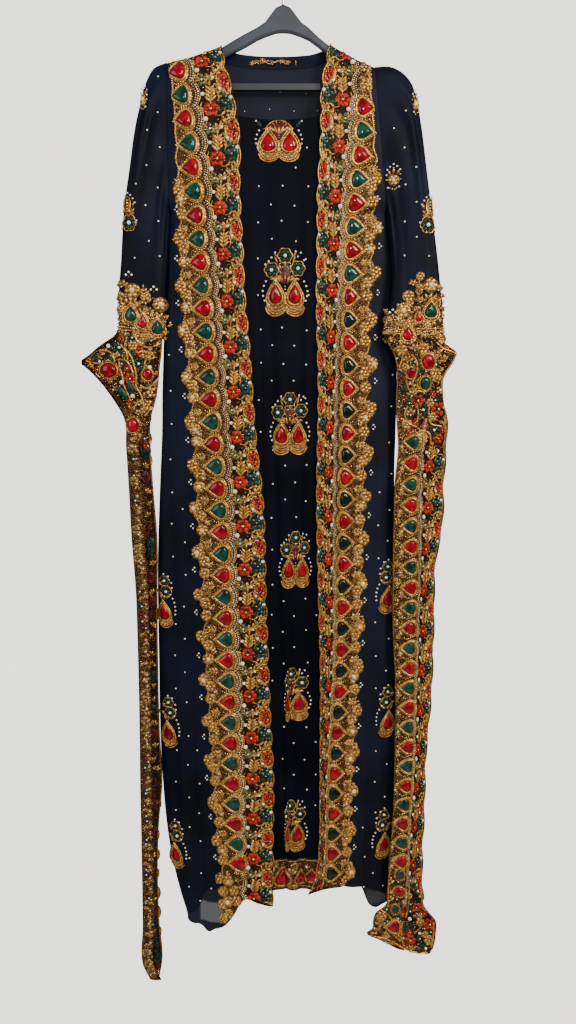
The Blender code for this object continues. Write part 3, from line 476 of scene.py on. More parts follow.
def columnLevels(acrossAt, rows, hemTable, topLine=shoulderLine):
    # levels down each column from its top line to its hem, closer together near the shoulder: v^1.15
    top = np.full(acrossAt(np.array(140.0)).shape, 140.0)
    for step in range(5):
        top = topLine(acrossAt(top))
    hem = read(hemTable, "down", acrossAt(np.array(1600.0)))
    share = np.linspace(0, 1, rows)[:, None] ** 1.15
    return top + (hem - top) * share


def robeGrid(side, shares, rows):
    # a robe front's cloth as a grid of points, rows down and columns across
    shares = np.asarray(shares)[None, :]
    down = columnLevels(lambda level: robeAcross(side, shares, level), rows, frontHem)
    across = robeAcross(side, shares, down)
    return at(across, -robeDepth(side, across, down), down)


def backTop(across):
    # the back panel hangs from the shoulders, and between the neck points from the neck edge
    inNeck = (across > body["neck"]["left"][0]) & (across < body["neck"]["right"][0])
    return np.where(inNeck, read(backNeck, "down", across), shoulderLine(across))


def backDepth(across, down):
    # the back panel: body depth and folds, standing up 8.5 mm behind the hanger along the neck edge
    start = backTop(across)
    neckLeft, neckRight = body["neck"]["left"][0], body["neck"]["right"][0]
    stand = ease(across, neckLeft - 5, neckLeft + 1) * (1 - ease(across, neckRight - 1, neckRight + 5))
    away = np.exp(-np.maximum(down - start, 0) / 16)
    depth = bodyDepth(across, down, start, "back") * (1 - stand * away) + stand * 8.5 * away
    left, right = read(bodyShape, "left", down), read(bodyShape, "right", down)
    share = np.clip((across - left) / (right - left), 0, 1)
    window = np.minimum(1, np.minimum(7 * share, 7 * (1 - share)))
    return depth + window * foldHeight(backFolds, across, down)


def backGrid(shares, rows, lift=0.0, lastRow=None):
    shares = np.asarray(shares)[None, :]

    def acrossAt(level):
        left, right = read(bodyShape, "left", level), read(bodyShape, "right", level)
        return left + (right - left) * shares

    down = columnLevels(acrossAt, rows, backHem, backTop)[:lastRow]
    across = acrossAt(down)
    return at(across, backDepth(across, down) + lift, down)


centre = {"overlap": 8.0, "top": 236.0, "scoop": 8.0, "hem": 1584.0, "recess": 4.0, "behind": 2.0,
          "heldBelow": 1522.0}


def centreRails(down):
    held = np.minimum(down, centre["heldBelow"])
    left = read(band["left"], "inner", down) - centre["overlap"]
    right = read(band["right"], "inner", held) + centre["overlap"]
    return left, right, held


def centreDepth(across, down):
    # the inner front: behind both bands at its edges, set back and softly folded between them
    left, right, held = centreRails(down)
    share = np.clip((across - left) / (right - left), 0, 1)
    window = np.sin(math.pi * share) ** 0.6
    turned = read(band["right"], "turn", held) * np.clip((share - 0.5) * 2.6, 0, 1)
    depth = bodyDepth(across, down, 140.0, "front", centre["behind"]) - centre["recess"] * window - turned
    return depth + window * foldHeight(centreFolds, across, down)


def centreGrid(shares, levels, lift=0.0):
    # the inner front's cloth, its neckline scooped by 8 mm
    shares = np.asarray(shares)[None, :]
    levels = np.asarray(levels)[:, None]
    down = levels + centre["scoop"] * (1 - (2 * shares - 1) ** 2) * (levels == centre["top"])
    left, right, held = centreRails(down)
    across = left + (right - left) * shares
    return at(across, -centreDepth(across, down) - lift, down)


# surfaces for sewing on: a place is (a, b), a across the piece and b down it, both in millimetres

def bandStrip(side):
    # a beaded strip: its rails by level, its depth, and the way from the pearl line outwards
    def inside(across, down):
        return (down > shoulderLine(across) + 3) & (down < read(frontHem, "down", across) - 2)
    return {"rail": lambda name, b: read(band[side], name, b), "way": sign[side], "keep": inside,
            "deep": lambda across, b: -robeDepth(side, across, b) - bandLook["lift"]}


def squared(strip, acrossAt):
    # places (a, b) of a strip whose rows stand square to the pearl line: b - slope (across - gem)
    def place(a, b):
        slope = (strip["rail"]("pearl", b + 20) - strip["rail"]("pearl", b - 20)) / 40
        level = b - slope * (acrossAt(a, b) - strip["rail"]("gem", b))
        across = acrossAt(a, level)
        return at(across, strip["deep"](across, level), level)
    return place


def vineSurface(strip):
    # a = 0 at the pearl line to 50 at the free edge, b = level; what would pass the edge is drawn in to it
    def acrossAt(a, b):
        pearlAt, inner = strip["rail"]("pearl", b), strip["rail"]("inner", b)
        a = np.minimum(a, 50 + 0.1 * (a - 50))
        return pearlAt + (inner - pearlAt) * a / 50
    return {"place": squared(strip, acrossAt), "side": -strip["way"], "keep": strip["keep"]}


def outerSurface(strip):
    # a = distance outwards from the line of gems, b = level; what would pass the edge is drawn in to it
    def acrossAt(a, b):
        full = np.abs(strip["rail"]("outer", b) - strip["rail"]("gem", b)) + 2
        a = np.minimum(a, full + 0.1 * (a - full))
        return strip["rail"]("gem", b) + strip["way"] * a
    return {"place": squared(strip, acrossAt), "side": strip["way"], "keep": strip["keep"]}


def frontSurface(depthOf, lift=0.0):
    # a = place across, b = level, on any cloth that faces the front
    return {"place": lambda a, b: at(a, -depthOf(a, b) - lift, b), "side": 1.0}


backSurface = {"place": lambda a, b: at(a, backDepth(a, b), b), "side": -1.0}


def onSurface(surface, a, b, height):
    # P(a, b) + height n, n = dP/da x dP/d(-b), turned outwards
    here = surface["place"](a, b)
    alongA = surface["place"](a + 0.4, b) - here
    alongB = here - surface["place"](a, b + 0.4)
    normal = np.cross(alongA, alongB) * surface["side"]
    normal /= np.maximum(np.linalg.norm(normal, axis=-1, keepdims=True), 1e-9)
    return here + normal * np.asarray(height)[..., None]


bandLook = {"lift": 0.9, "pitch": 37.8, "firstGem": {"left": 170.0, "right": 170.0 + 1.5 * 37.8},
            "lastGem": {"left": 1532.0, "right": 1572.0}}

sleeve = {
    "rails": {
        "left": (((-191.4, 151), (-212, 160), (-223, 177), (-232, 205), (-242, 241), (-255, 317), (-266, 389),
                  (-272, 466), (-277, 520), (-278, 586)),
                 ((-190.4, 385), (-192.7, 430), (-196.6, 500), (-199.6, 545), (-202.4, 590))),
        "right": (((150.4, 158), (176, 158), (194, 166.5), (210, 184), (218, 205), (226, 245), (237, 326),
                   (248, 407), (257, 475), (264, 540), (268, 597)),
                  ((172.4, 385), (176.4, 430), (180.4, 470), (180, 520), (174, 560), (168, 592))),
    },
    "shape": {
        "left": table("along middle depth gather", (
            (0.0, 0, 15, 0), (0.1, 0, 17, 3.2), (0.3, -2, 18, 2.6), (0.6, -5, 17, 1.6), (0.82, -7, 14, 1.2),
            (1.0, -8, 13, 0.6),
        )),
        "right": table("along middle depth gather", (
            (0.0, 0, 15, 0), (0.1, -1, 17, 3.2), (0.3, -8, 17, 2.6), (0.6, -20, 15, 1.6),
            (0.82, -26, 13, 1.2),
            (1.0, -28, 12, 0.6),
        )),
    },
    "cuffStart": 0.82, "around": 120, "rows": 80, "cuffRows": 16,
}


def onCurve(points, share):
    # a place on a Hermite curve through points, by its share of the length
    points = np.array(points, float)
    lengths = np.concatenate([[0], np.cumsum(np.hypot(*np.diff(points, axis=0).T))])
    curve = table("length across down", np.column_stack([lengths, points]))
    return np.stack([read(curve, name, np.asarray(share) * lengths[-1]) for name in ("across", "down")])


def sleeveFolds(side, angle, along):
    # gathers from the sleeve head, uneven round the arm, running out into a few long soft folds
    turn = 1.3 if side == "left" else 0.4
    head = np.sin(13 * angle + turn + 0.5 * np.sin(3 * angle)) * (0.7 + 0.3 * np.sin(5 * angle + turn))
    long = 0.6 * np.sin(5 * angle + 2 * turn + 1.2 * along) + 0.4 * np.sin(8 * angle - turn - 2 * along)
    fade = ease(along, 0.0, 0.07) * (1 - 0.55 * ease(along, 0.15, 0.7))
    return fade * (head * (1 - 0.6 * ease(along, 0.1, 0.6)) + 1.1 * long * ease(along, 0.05, 0.3))


def sleevePoint(side, angle, along, lift=0.0):
    # rings between the outer and inner rails: m + h |cos|^(2/3), depth |sin|^(2/3), both signed
    outer, inner = (onCurve(rail, along) for rail in sleeve["rails"][side])
    blunt = 2 / body["blunt"]
    lengthwise = np.sign(np.cos(angle)) * np.abs(np.cos(angle)) ** blunt
    frontwise = np.sign(np.sin(angle)) * np.abs(np.sin(angle)) ** blunt
    middle, half = (outer + inner) / 2, (outer - inner) / 2
    reach = np.hypot(*half)
    spot = middle + half * lengthwise * (1 + lift / reach)
    shape = sleeve["shape"][side]
    depth = read(shape, "depth", along) + lift
    ripple = read(shape, "gather", along) * sleeveFolds(side, angle, along) * np.abs(np.sin(angle)) ** 0.5
    deep = read(shape, "middle", along) - frontwise * depth - np.sign(frontwise) * ripple
    return at(spot[0], deep, spot[1])


def sleeveGrid(side, start, end, rows, lift=0.0):
    angle = np.linspace(0, 2 * math.pi, sleeve["around"], endpoint=False)[None, :]
    along = start + (end - start) * np.linspace(0, 1, rows)[:, None]
    angle, along = np.broadcast_arrays(angle, along)
    return sleevePoint(side, angle, along, lift)


def sleeveSurface(side, face, lift=0.0):
    # a = place across, b = level: the ring through that place is found by halving, then its angle
    rails = sleeve["rails"][side]

    def place(a, b):
        a, b = np.broadcast_arrays(a, b)
        low, high = np.zeros(a.shape), np.ones(a.shape)
        for step in range(16):
            middle = (low + high) / 2
            outer, inner = onCurve(rails[0], middle), onCurve(rails[1], middle)
            cross = (inner[0] - outer[0]) * (b - outer[1]) - (inner[1] - outer[1]) * (a - outer[0])
            below = cross * sign[side] < 0
            low, high = np.where(below, middle, low), np.where(below, high, middle)
        along = (low + high) / 2
        outer, inner = onCurve(rails[0], along), onCurve(rails[1], along)
        half = np.hypot(*(inner - outer)) / 2
        gone = (a - outer[0]) * (inner[0] - outer[0]) + (b - outer[1]) * (inner[1] - outer[1])
        gone = gone / (4 * half * half)
        lengthwise = np.clip(1 - 2 * gone, -1, 1)
        angle = np.arccos(np.sign(lengthwise) * np.abs(lengthwise) ** 1.5)
        point = sleevePoint(side, angle if face == "front" else -angle, along, lift)
        return at(a, point[..., 1], b)
    return {"place": place, "side": 1.0 if face == "front" else -1.0}


tail = {
    "left": table("down outer inner middle bow", (
        (590, -278, -205, -8, 13), (610, -309, -206, -8, 13), (630, -334, -208, -8, 12),
        (636, -344, -209, -8, 12),
        (642, -336, -210, -8, 12), (664, -313, -212, -8, 12),
        (696, -288, -217, -9, 11), (728, -269, -226, -10, 10), (780, -266, -228, -10, 9),
        (850, -263, -225, -10, 9),
        (940, -260, -219.5, -10, 9), (1026, -255, -221, -10, 9), (1110, -254, -222, -10, 8),
        (1295, -254, -221.5, -10, 8), (1387, -255, -219, -10, 8), (1459, -255, -226, -10, 8),
        (1654, -256, -229, -10, 8), (1730, -257, -225, -10, 7), (1764, -246, -231, -10, 4),
    )),
    "right": table("down outer inner middle bow", (
        (597, 262, 170, -28, 12), (606, 270, 175, -28, 12), (616, 283, 180, -28, 11),
        (622, 291, 184, -28, 11),
        (627, 289, 186, -28, 10), (646, 278, 190, -28, 9), (663, 270, 191, -27, 8),
        (690, 270, 190, -26, 6), (738, 277, 192, -26, 5), (780, 277, 195, -26, 5), (829, 274, 191, -26, 4),
        (921, 272, 189, -26, 4), (968, 264, 189, -26, 3), (1085, 262, 190, -26, 3), (1219, 260, 197, -26, 3),
        (1325, 253, 197, -27, 3), (1428, 252, 196, -27, 3), (1524, 250, 190, -27, 3),
        (1590, 253, 187, -27, 4),
        (1612, 256, 184, -27, 4), (1624, 264, 169, -27, 5), (1640, 277, 163, -27, 5),
        (1657, 279, 161, -27, 5),
        (1666, 278, 152, -27, 5), (1672, 278, 166, -27, 5), (1684, 276, 190, -27, 5),
        (1694, 273, 210, -27, 5), (1704, 269, 256, -27, 4),
    )),
    "fold": 15.0, "columns": 24, "rows": 140, "footRows": 60, "foot": 110.0,
    "tilt": {"left": 4.0, "right": -5.0}, "start": {"left": 586.5, "right": 597.5},
    "end": {"left": 1764.0, "right": 1704.0},
}
rightTail = {
    "rails": table("down gem pearl", (
        (597, 234, 250), (700, 224, 242), (771, 218, 236), (1000, 218, 235), (1237, 218, 232),
        (1380, 216, 230),
        (1453, 211, 226), (1518, 210, 225), (1580, 206, 222), (1646, 199, 220), (1704, 232, 250),
    )),
    "pitch": 35.9, "firstGem": 771.0, "lastGem": 1530.0,
}
tailFolds = table(foldNames, (
    (640, 1700, 250, 246, 2.6, 7), (700, 1500, 262, 256, -2.0, 5), (900, 1700, 200, 204, -2.4, 6),
    (1100, 1700, 236, 232, 2.0, 5), (640, 1500, -240, -238, -2.0, 6), (900, 1700, -232, -238, 1.6, 4),
))


def tailDepth(side, across, down):
    # a tail's cloth: bow (1 - |1 - 2 s|^3)^(1/3) in front of its middle, softly folded
    shape = tail[side]
    outer, inner = read(shape, "outer", down), read(shape, "inner", down)
    share = np.clip((across - outer) / (inner - outer), 0, 1)
    bend = (1 - np.abs(1 - 2 * share) ** body["blunt"]) ** (1 / body["blunt"])
    window = np.sin(math.pi * share) ** 0.5
    folds = window * foldHeight(tailFolds, across, down)
    return read(shape, "bow", down) * bend - read(shape, "middle", down) + folds


def leafDepth(across, down):
    # the left tail's front leaf, folded forwards along its outer edge
    shape = tail["left"]
    gap = tail["fold"] * np.clip((down - 600) / 120, 0.35, 1) * np.clip((1790 - down) / 60, 0.4, 1)
    share = np.clip((across - read(shape, "outer", down)) / leafWidth(down), 0, 1)
    swell = 0.75 + 0.3 * np.sin(math.pi * np.clip(share, 0, 0.85)) ** 0.7
    return 0.8 * read(shape, "bow", down) - read(shape, "middle", down) + gap * swell


def leafWidth(down):
    return 3 + 17.5 * np.clip((down - 650) / 90, 0, 1)


def tailGrid(side):
    # a tail's cloth from its free edge, its rows closer together at the foot;
    # the left one turns round its outer edge into the front leaf
    start, end, foot = tail["start"][side], tail["end"][side], tail["end"][side] - tail["foot"]
    levels = np.concatenate([np.linspace(start, foot, tail["rows"], endpoint=False),
                             np.linspace(foot, end, tail["footRows"])])[:, None]
    share = np.linspace(0, 1, tail["columns"])[None, :]
    shape = tail[side]
    outer, inner = read(shape, "outer", levels), read(shape, "inner", levels)
    if side == "right":
        # the free edge swells outwards at each repeat of the vine
        swell = np.abs(np.sin(math.pi * (levels - 775) / (2 * rightTail["pitch"]))) ** 0.7 - 0.4
        outer = outer + 4.5 * swell * (levels > 700) * (levels < 1600)
    across = outer + (inner - outer) * share
    down = levels + tail["tilt"][side] * share * (1 - ease(levels, start, start + 60))
    back = at(across, -tailDepth(side, across, levels), down)
    if side == "right":
        return back
    leafAcross = outer + leafWidth(levels) * np.linspace(1, 0, tail["columns"] // 2)[None, :]
    front = at(leafAcross, -leafDepth(leafAcross, levels), levels)
    turn = np.linspace(0, math.pi, 7)[None, 1:-1]
    near, far = front[:, -1:, 1], back[:, :1, 1]
    middle, half = (near + far) / 2, (near - far) / 2
    bend = at(outer - 0.7 - 1.6 * np.sin(turn), middle + half * np.cos(turn), levels)
    return np.concatenate([front, bend, back], axis=1)


# cloth pieces

makeCloth("backPanelCloth", backGrid(np.linspace(0, 1, 110), 130), cloth, "back_panel")

# the trim ends 5 mm inside the neck points, in shares of the back's width at its top
topLeft, topWidth = -191.0, 341.0
trimEnds = [(body["neck"][side][0] - sign[side] * 5 - topLeft) / topWidth for side in sides]
makeCloth("backNeckTrimCloth", backGrid(np.linspace(*trimEnds, 60), 600, lift=-1.9, lastRow=14), cloth,
          "back_neck_trim", flip=True)

centreLevels = np.concatenate([[centre["top"]], np.linspace(centre["top"] + 10, centre["hem"], 140)])
frontShares = np.concatenate([np.linspace(0, 1, 30), np.linspace(1, 2, 24)[1:]])
for side in sides:
    makeCloth("robeFront" + ending[side] + "Cloth", robeGrid(side, frontShares, 130), frontCloth[side],
              "robe_front_" + side, flip=side == "left")
makeCloth("innerFrontCloth", centreGrid(np.linspace(0, 1, 44), centreLevels), innerCloth, "inner_front",
          flip=True)

for side in sides:
    flip = side == "right"
    makeCloth("sleeve" + ending[side] + "Cloth", sleeveGrid(side, 0.0, 0.96, sleeve["rows"]), cloth,
              "sleeve_" + side, closed=True, flip=flip)
    grid = sleeveGrid(side, sleeve["cuffStart"] + 0.03, 1.0, sleeve["cuffRows"], lift=0.7)
    rows, columns = grid.shape[:2]
    # the map lies in the ground's gold part: 22 cm round and 9 cm down
    uvs = np.stack(np.broadcast_arrays(np.arange(columns)[None, :] * 22 / columns + 1,
                                       np.arange(rows)[:, None] * 9 / rows), axis=-1)
    makeCloth("cuff" + ending[side] + "Cloth", grid, ground, "cuff_" + side, closed=True, flip=flip, uvs=uvs)
    grid = tailGrid(side)
    # gold ground towards the gems and on the front leaf, dark net elsewhere
    level = -grid[..., 2]
    if side == "left":
        goldFrom = -236.0 - 150 * (1 - ease(level, 680, 730))
    else:
        goldFrom = read(rightTail["rails"], "pearl", level) - 22 * (level < 740)
    uvs = np.stack([goldFrom - grid[..., 0], -level], axis=-1) / 10
    makeCloth("tail" + ending[side] + "Cloth", grid, ground, "sleeve_tail_" + side, uvs=uvs)
print("cloth made")


# shapes for beadwork, each (points, triangles) with x to the right, y up and z out of the cloth

def sphereShape(fine):
    # icosahedron of diameter 1, each face cut in four where fine, its middle 0.35 above the cloth
    g = (1 + 5 ** 0.5) / 2
    points = np.array([(-1, g, 0), (1, g, 0), (-1, -g, 0), (1, -g, 0), (0, -1, g), (0, 1, g), (0, -1, -g),
                       (0, 1, -g), (g, 0, -1), (g, 0, 1), (-g, 0, -1), (-g, 0, 1)], float)
    faces = np.array([(0, 11, 5), (0, 5, 1), (0, 1, 7), (0, 7, 10), (0, 10, 11), (1, 5, 9), (5, 11, 4),
                      (11, 10, 2), (10, 7, 6), (7, 1, 8), (3, 9, 4), (3, 4, 2), (3, 2, 6), (3, 6, 8),
                      (3, 8, 9), (4, 9, 5), (2, 4, 11), (6, 2, 10), (8, 6, 7), (9, 8, 1)])
    if fine:
        edges = np.sort(faces[:, [0, 1, 1, 2, 2, 0]].reshape(-1, 2), axis=1)
        pairs, number = np.unique(edges, axis=0, return_inverse=True)
        number = number.reshape(-1, 3) + len(points)
        points = np.concatenate([points, points[pairs].mean(axis=1)])
        a, b, c = faces.T
        ab, bc, ca = number.T
        quarters = ((a, ab, ca), (b, bc, ab), (c, ca, bc), (ab, bc, ca))
        faces = np.concatenate([np.stack(quarter, axis=1) for quarter in quarters])
    points = points / np.linalg.norm(points, axis=1, keepdims=True) / 2
    return points + (0, 0, 0.35), faces


def seedShape():
    # octahedron of diameter 1: the smallest beads
    points = np.array([(1, 0, 0), (0, 1, 0), (-1, 0, 0), (0, -1, 0), (0, 0, 1), (0, 0, -0.4)], float) / 2
    faces = np.array([(i, (i + 1) % 4, 4) for i in range(4)] + [((i + 1) % 4, i, 5) for i in range(4)])
    return points + (0, 0, 0.2), faces


def petalShape(peak, rows=5):
    # domed petal from (0, 0) to (0, 1): half width 0.5 sin(pi t^peak), height (1 - s^2) sin(pi t)^0.7
    t = np.linspace(0, 1, rows)[:, None]
    s = np.array([-1.0, -0.45, 0.45, 1.0])[None, :]
    half = 0.5 * np.maximum(np.sin(math.pi * t ** peak), 0.03)
    rise = (1 - s ** 2) * np.sin(math.pi * t) ** 0.7 + 0.12
    points = np.stack(np.broadcast_arrays(half * s, t, rise), axis=-1)
    return points.reshape(-1, 3), triangles(gridFaces(rows, 4))


def steppedShape(outline, middle, steps, top):
    # rings of an outline drawn in towards its middle, each (size, height), closed by one point at the top
    count = len(outline)
    rings = [np.column_stack([middle + (outline - middle) * size, np.full(count, height)])
             for size, height in steps]
    last = (len(steps) - 1) * count + np.arange(count)
    cap = np.stack([last, np.roll(last, -1), np.full(count, len(steps) * count)], axis=1)
    faces = triangles(gridFaces(len(steps), count, closed=True))
    return np.concatenate(rings + [np.append(middle, top)[None]]), np.concatenate([faces, cap])


def dropOutline(count):
    # teardrop of length 1 with its tip at (0, 0.5): x = 0.62 sin u sin(u/2)^1.25, y = cos(u) / 2
    u = np.linspace(0, 2 * math.pi, count, endpoint=False)
    return np.stack([-0.62 * np.sin(u) * np.abs(np.sin(u / 2)) ** 1.25, np.cos(u) / 2], axis=1)


def dropShape():
    # a cut stone: girdle, crown and table of a teardrop
    steps = ((1.0, 0.0), (1.0, 0.45), (0.72, 0.85), (0.4, 1.0))
    return steppedShape(dropOutline(16), np.array((0, -0.13)), steps, 1.03)


def plateShape(outline, rise):
    # thin raised plate inside an outline that runs anticlockwise: a bevel, then flat to its middle
    return steppedShape(outline, outline.mean(axis=0), ((1.0, 0.1), (0.94, rise)), rise)


def oval(x, y, wide, tall, count=16):
    # points anticlockwise round an oval
    turn = np.linspace(0, 2 * math.pi, count, endpoint=False)
    return np.stack([x + wide / 2 * np.cos(turn), y + tall / 2 * np.sin(turn)], axis=1)


def cordShape(path, radius, rise=0.0, closed=False, corners=4):
    # tube round a path of (x, y) in the cloth's plane, resting on it
    if closed:
        along = np.roll(path, -1, axis=0) - np.roll(path, 1, axis=0)
    else:
        along = np.gradient(path, axis=0)
    along /= np.maximum(np.linalg.norm(along, axis=1, keepdims=True), 1e-9)
    across = np.stack([along[:, 1], -along[:, 0]], axis=1)
    turn = np.linspace(0, 2 * math.pi, corners, endpoint=False)
    xy = path[:, None, :] + across[:, None, :] * (radius * np.cos(turn))[None, :, None]
    z = np.broadcast_to(radius * (np.sin(turn) + 0.7) + rise, xy.shape[:2])
    points = np.concatenate([xy, z[..., None]], axis=-1)
    if closed:
        points = np.concatenate([points, points[:1]])
    return points.reshape(-1, 3), triangles(gridFaces(len(points), corners, closed=True, flip=True))


shapes = {
    "pearl": sphereShape(True), "bead": sphereShape(False), "seed": seedShape(), "drop": dropShape(),
    "petal": petalShape(1.5), "leaf": petalShape(0.85), "grain": petalShape(1.0, 4),
}


# ornaments are lists of parts, each (finish, (points, triangles))

def placed(shape, x=0.0, y=0.0, turn=0.0, width=1.0, length=None, height=None):
    # a shape sized to width, length and height, turned anticlockwise by degrees and moved to (x, y)
    points, faces = shapes[shape] if isinstance(shape, str) else shape
    length = width if length is None else length
    height = width if height is None else height
    angle = math.radians(turn)
    sized = points * (width, length, height)
    turned = np.stack([sized[:, 0] * math.cos(angle) - sized[:, 1] * math.sin(angle) + x,
                       sized[:, 0] * math.sin(angle) + sized[:, 1] * math.cos(angle) + y,
                       sized[:, 2]], axis=1)
    return turned, faces


def beads(finish, shape, places, width, height=None):
    # the same round shape at each place (x, y)
    return [(finish, placed(shape, x, y, width=width, height=height)) for x, y in places]


def blades(finish, shape, places, width, length, height):
    # the same long shape at each place (x, y, turn)
    return [(finish, placed(shape, x, y, turn, width, length, height)) for x, y, turn in places]


def bothWays(places):
    # places (x, y) or (x, y, turn) and their mirror images
    return [(way * x, y, *(way * turn for turn in rest)) for way in (-1, 1) for x, y, *rest in places]


def goldCord(path, radius, rise=0.0, closed=False, corners=4):
    return "gold", cordShape(path, radius, rise, closed, corners)


def ring(finish, shape, count, radius, width, length=None, height=None, start=0.0):
    # the same shape at even places round a circle, pointing outwards
    angles = [start + 360 * number / count for number in range(count)]
    return [(finish, placed(shape, radius * math.cos(math.radians(angle)),
                            radius * math.sin(math.radians(angle)),
                            angle - 90, width, length, height)) for angle in angles]


def mirrored(ornament):
    return [(finish, (points * (-1, 1, 1), faces[:, ::-1])) for finish, (points, faces) in ornament]


def moved(ornament, x=0.0, y=0.0, turn=0.0, size=1.0):
    return [(finish, placed(shape, x, y, turn, size, size, size)) for finish, shape in ornament]


stitched = {}


def stitch(piece, points, faces, finish):
    stitched.setdefault(piece, []).append((points.reshape(-1, 3), faces.reshape(-1, 3), finish))


def sew(piece, surface, ornament, a, b, turn=0.0, size=1.0, squeeze=1.0):
    # lays an ornament at each place (a, b) of a surface: every point goes to P(a + x, b - y) + z n.
    # A part that would lie by more than about a quarter past the cloth's edge is left out
    values = np.broadcast_arrays(a, b, turn, size, squeeze)
    a, b, turn, size, squeeze = (np.atleast_1d(value).astype(float)[:, None] for value in values)
    if not len(a):
        return
    cosine, sine = np.cos(np.radians(turn)), np.sin(np.radians(turn))
    for finish in sorted({finish for finish, _ in ornament}):
        parts = [shape for name, shape in ornament if name == finish]
        starts = np.cumsum([0] + [len(points) for points, _ in parts])
        points = np.concatenate([points for points, _ in parts])
        faces = np.concatenate([faces + start for (_, faces), start in zip(parts, starts)])
        partOf = np.repeat(np.arange(len(parts)), [len(faces) for _, faces in parts])
        x, y, z = points[None, :, 0] * size * squeeze, points[None, :, 1] * size, points[None, :, 2] * size
        world = onSurface(surface, a + x * cosine - y * sine, b - x * sine - y * cosine, z)
        number = faces[None] + (np.arange(len(a)) * len(points))[:, None, None]
        if "keep" in surface:
            inside = surface["keep"](world[..., 0], -world[..., 2])
            share = np.add.reduceat(inside.astype(float), starts[:-1], axis=1) / np.diff(starts)
            number = number[(share > 0.74)[:, partOf]]
        number = number.reshape(-1, 3)
        if surface["side"] < 0:
            number = number[:, ::-1]
        used, number = np.unique(number, return_inverse=True)
        if len(used):
            stitch(piece, world.reshape(-1, 3)[used], number, finish)


def stitchPath(piece, middle, up, radius, finish="gold"):
    # a four-sided cord through points in space: middle + radius (across cos t + up sin t)
    up = up / np.linalg.norm(up, axis=1, keepdims=True)
    along = np.gradient(middle, axis=0)
    along /= np.linalg.norm(along, axis=1, keepdims=True)
    across = np.cross(along, up)
    across /= np.linalg.norm(across, axis=1, keepdims=True)
    turn = np.linspace(0, 2 * math.pi, 4, endpoint=False)[None, :, None]
    points = middle[:, None] + radius * (across[:, None] * np.cos(turn) + up[:, None] * np.sin(turn))
    stitch(piece, points, triangles(gridFaces(len(middle), 4, closed=True, flip=True)), finish)


def sewCord(piece, surface, a, b, radius, finish="gold"):
    # a long cord through the places (a, b) of a surface
    if "keep" in surface:
        spot = surface["place"](a, b)
        keep = surface["keep"](spot[..., 0], -spot[..., 2])
        a, b = a[keep], b[keep]
    middle = onSurface(surface, a, b, np.full(len(a), 0.6 * radius))
    up = onSurface(surface, a, b, np.full(len(a), 0.6 * radius + 1.0)) - middle
    stitchPath(piece, middle, up, radius, finish)


def stitchBeads(piece, spots, width):
    # small gilt beads about points in space
    points, faces = shapes["bead"]
    world = spots[:, None] + (points - (0, 0, 0.35))[None] * width
    stitch(piece, world, faces[None] + (np.arange(len(spots)) * len(points))[:, None, None], "gilt")


def finishSewing(piece):
    # joins all that was sewn under a piece's name into one mesh with a finish for each face
    names = sorted({finish for _, _, finish in stitched[piece]})
    points, faces, finishOf, total = [], [], [], 0
    for some, corners, finish in stitched[piece]:
        points.append(some)
        faces.append(corners + total)
        finishOf.append(np.full(len(corners), names.index(finish)))
        total += len(some)
    faces = np.concatenate(faces)
    makePiece(piece, np.concatenate(points), faces, [finishes[name] for name in names],
                              np.concatenate(finishOf))
    print(piece, len(faces), "triangles")


# ornaments

def stem(points, count):
    # smooth path of count places through a few (x, y) points
    return onCurve(points, np.linspace(0, 1, count)).T


def flower(finish, petals, radius, heart="gilt", width=0.66):
    # petals from a small heart outwards, with a seed bead between each two
    return (ring(finish, "petal", petals, 1.4, radius * width, radius * 0.9, 2.4)
            + beads(heart, "pearl", ((0, 0),), radius * 0.4)
            + ring("gilt", "seed", petals, radius * 0.62, 1.5, start=180 / petals))


def rosette(heart, radius, share):
    # guipure flower: six round lobes and a ring of seed beads on a dull disc, the heart a share of the radius
    disc = plateShape(oval(0, 0, radius * 2.06, radius * 2.06, 12), 0.9)
    return (beads("gold", "bead", oval(0, 0, radius * 1.24, radius * 1.24, 6), radius * 0.84, 3.2)
            + beads("gilt", "seed", oval(0, 0, radius * 1.3, radius * 1.3, 6), 2.0, 6.0)
            + [("antique", disc)] + beads(heart, "pearl", ((0, 0),), radius * share, radius * share * 0.8))


def gem(finish):
    # teardrop stone with its tip along +x: a thick cord, then a row of beads, on gold
    tipRight = ((0, -1), (1, 0))
    return [(finish, placed("drop", 0.5, 0, -90, 29.5, 27.5, 5.6)),
            ("gold", placed("drop", 0.5, 0, -90, 43.0, 42.0, 1.4)),
            goldCord(dropOutline(22) @ tipRight * (31.5, 32.5), 2.1, 0.5, closed=True, corners=5),
            *beads("gilt", "seed", dropOutline(28) @ tipRight * (38.5, 39.0), 3.7, 5.0)]


def cabochon(finish, wide, tall):
    # round-topped stone in a gold ring with beads round it
    return [(finish, placed("pearl", width=wide, length=tall, height=7.0)),
            ("couched", plateShape(oval(0, 0, wide + 9, tall + 9), 0.8)),
            goldCord(oval(0, 0, wide + 3, tall + 3), 1.6, 0.3, closed=True),
            *beads("gilt", "seed", oval(0, 0, wide + 8, tall + 8, 18), 2.8, 3.6)]


def reverseSpot(finish):
    # the dull back of an ornament, seen where the strip is turned over
    return [(finish, plateShape(oval(0, 0, 15, 22, 10), 0.8)),
            (finish, placed("leaf", -3, -9, 12, 7, 19, 2.2)),
            (finish, placed("leaf", 4, -8, -10, 7, 17, 2.2))]


def leafPair():
    # two long green leaves side by side with a bead at each end
    return [("leaf", placed("leaf", -3.5, -12, 10, 10.0, 25.0, 3.4)),
            ("leaf", placed("leaf", 4, -10, -12, 9.0, 22.0, 3.4)),
            *beads("gilt", "bead", ((0, -13),), 3.2), *beads("gilt", "bead", ((-7, 12),), 2.6),
            goldCord(stem(((0, -13), (0.5, 0), (0, 12)), 5), 0.8)]


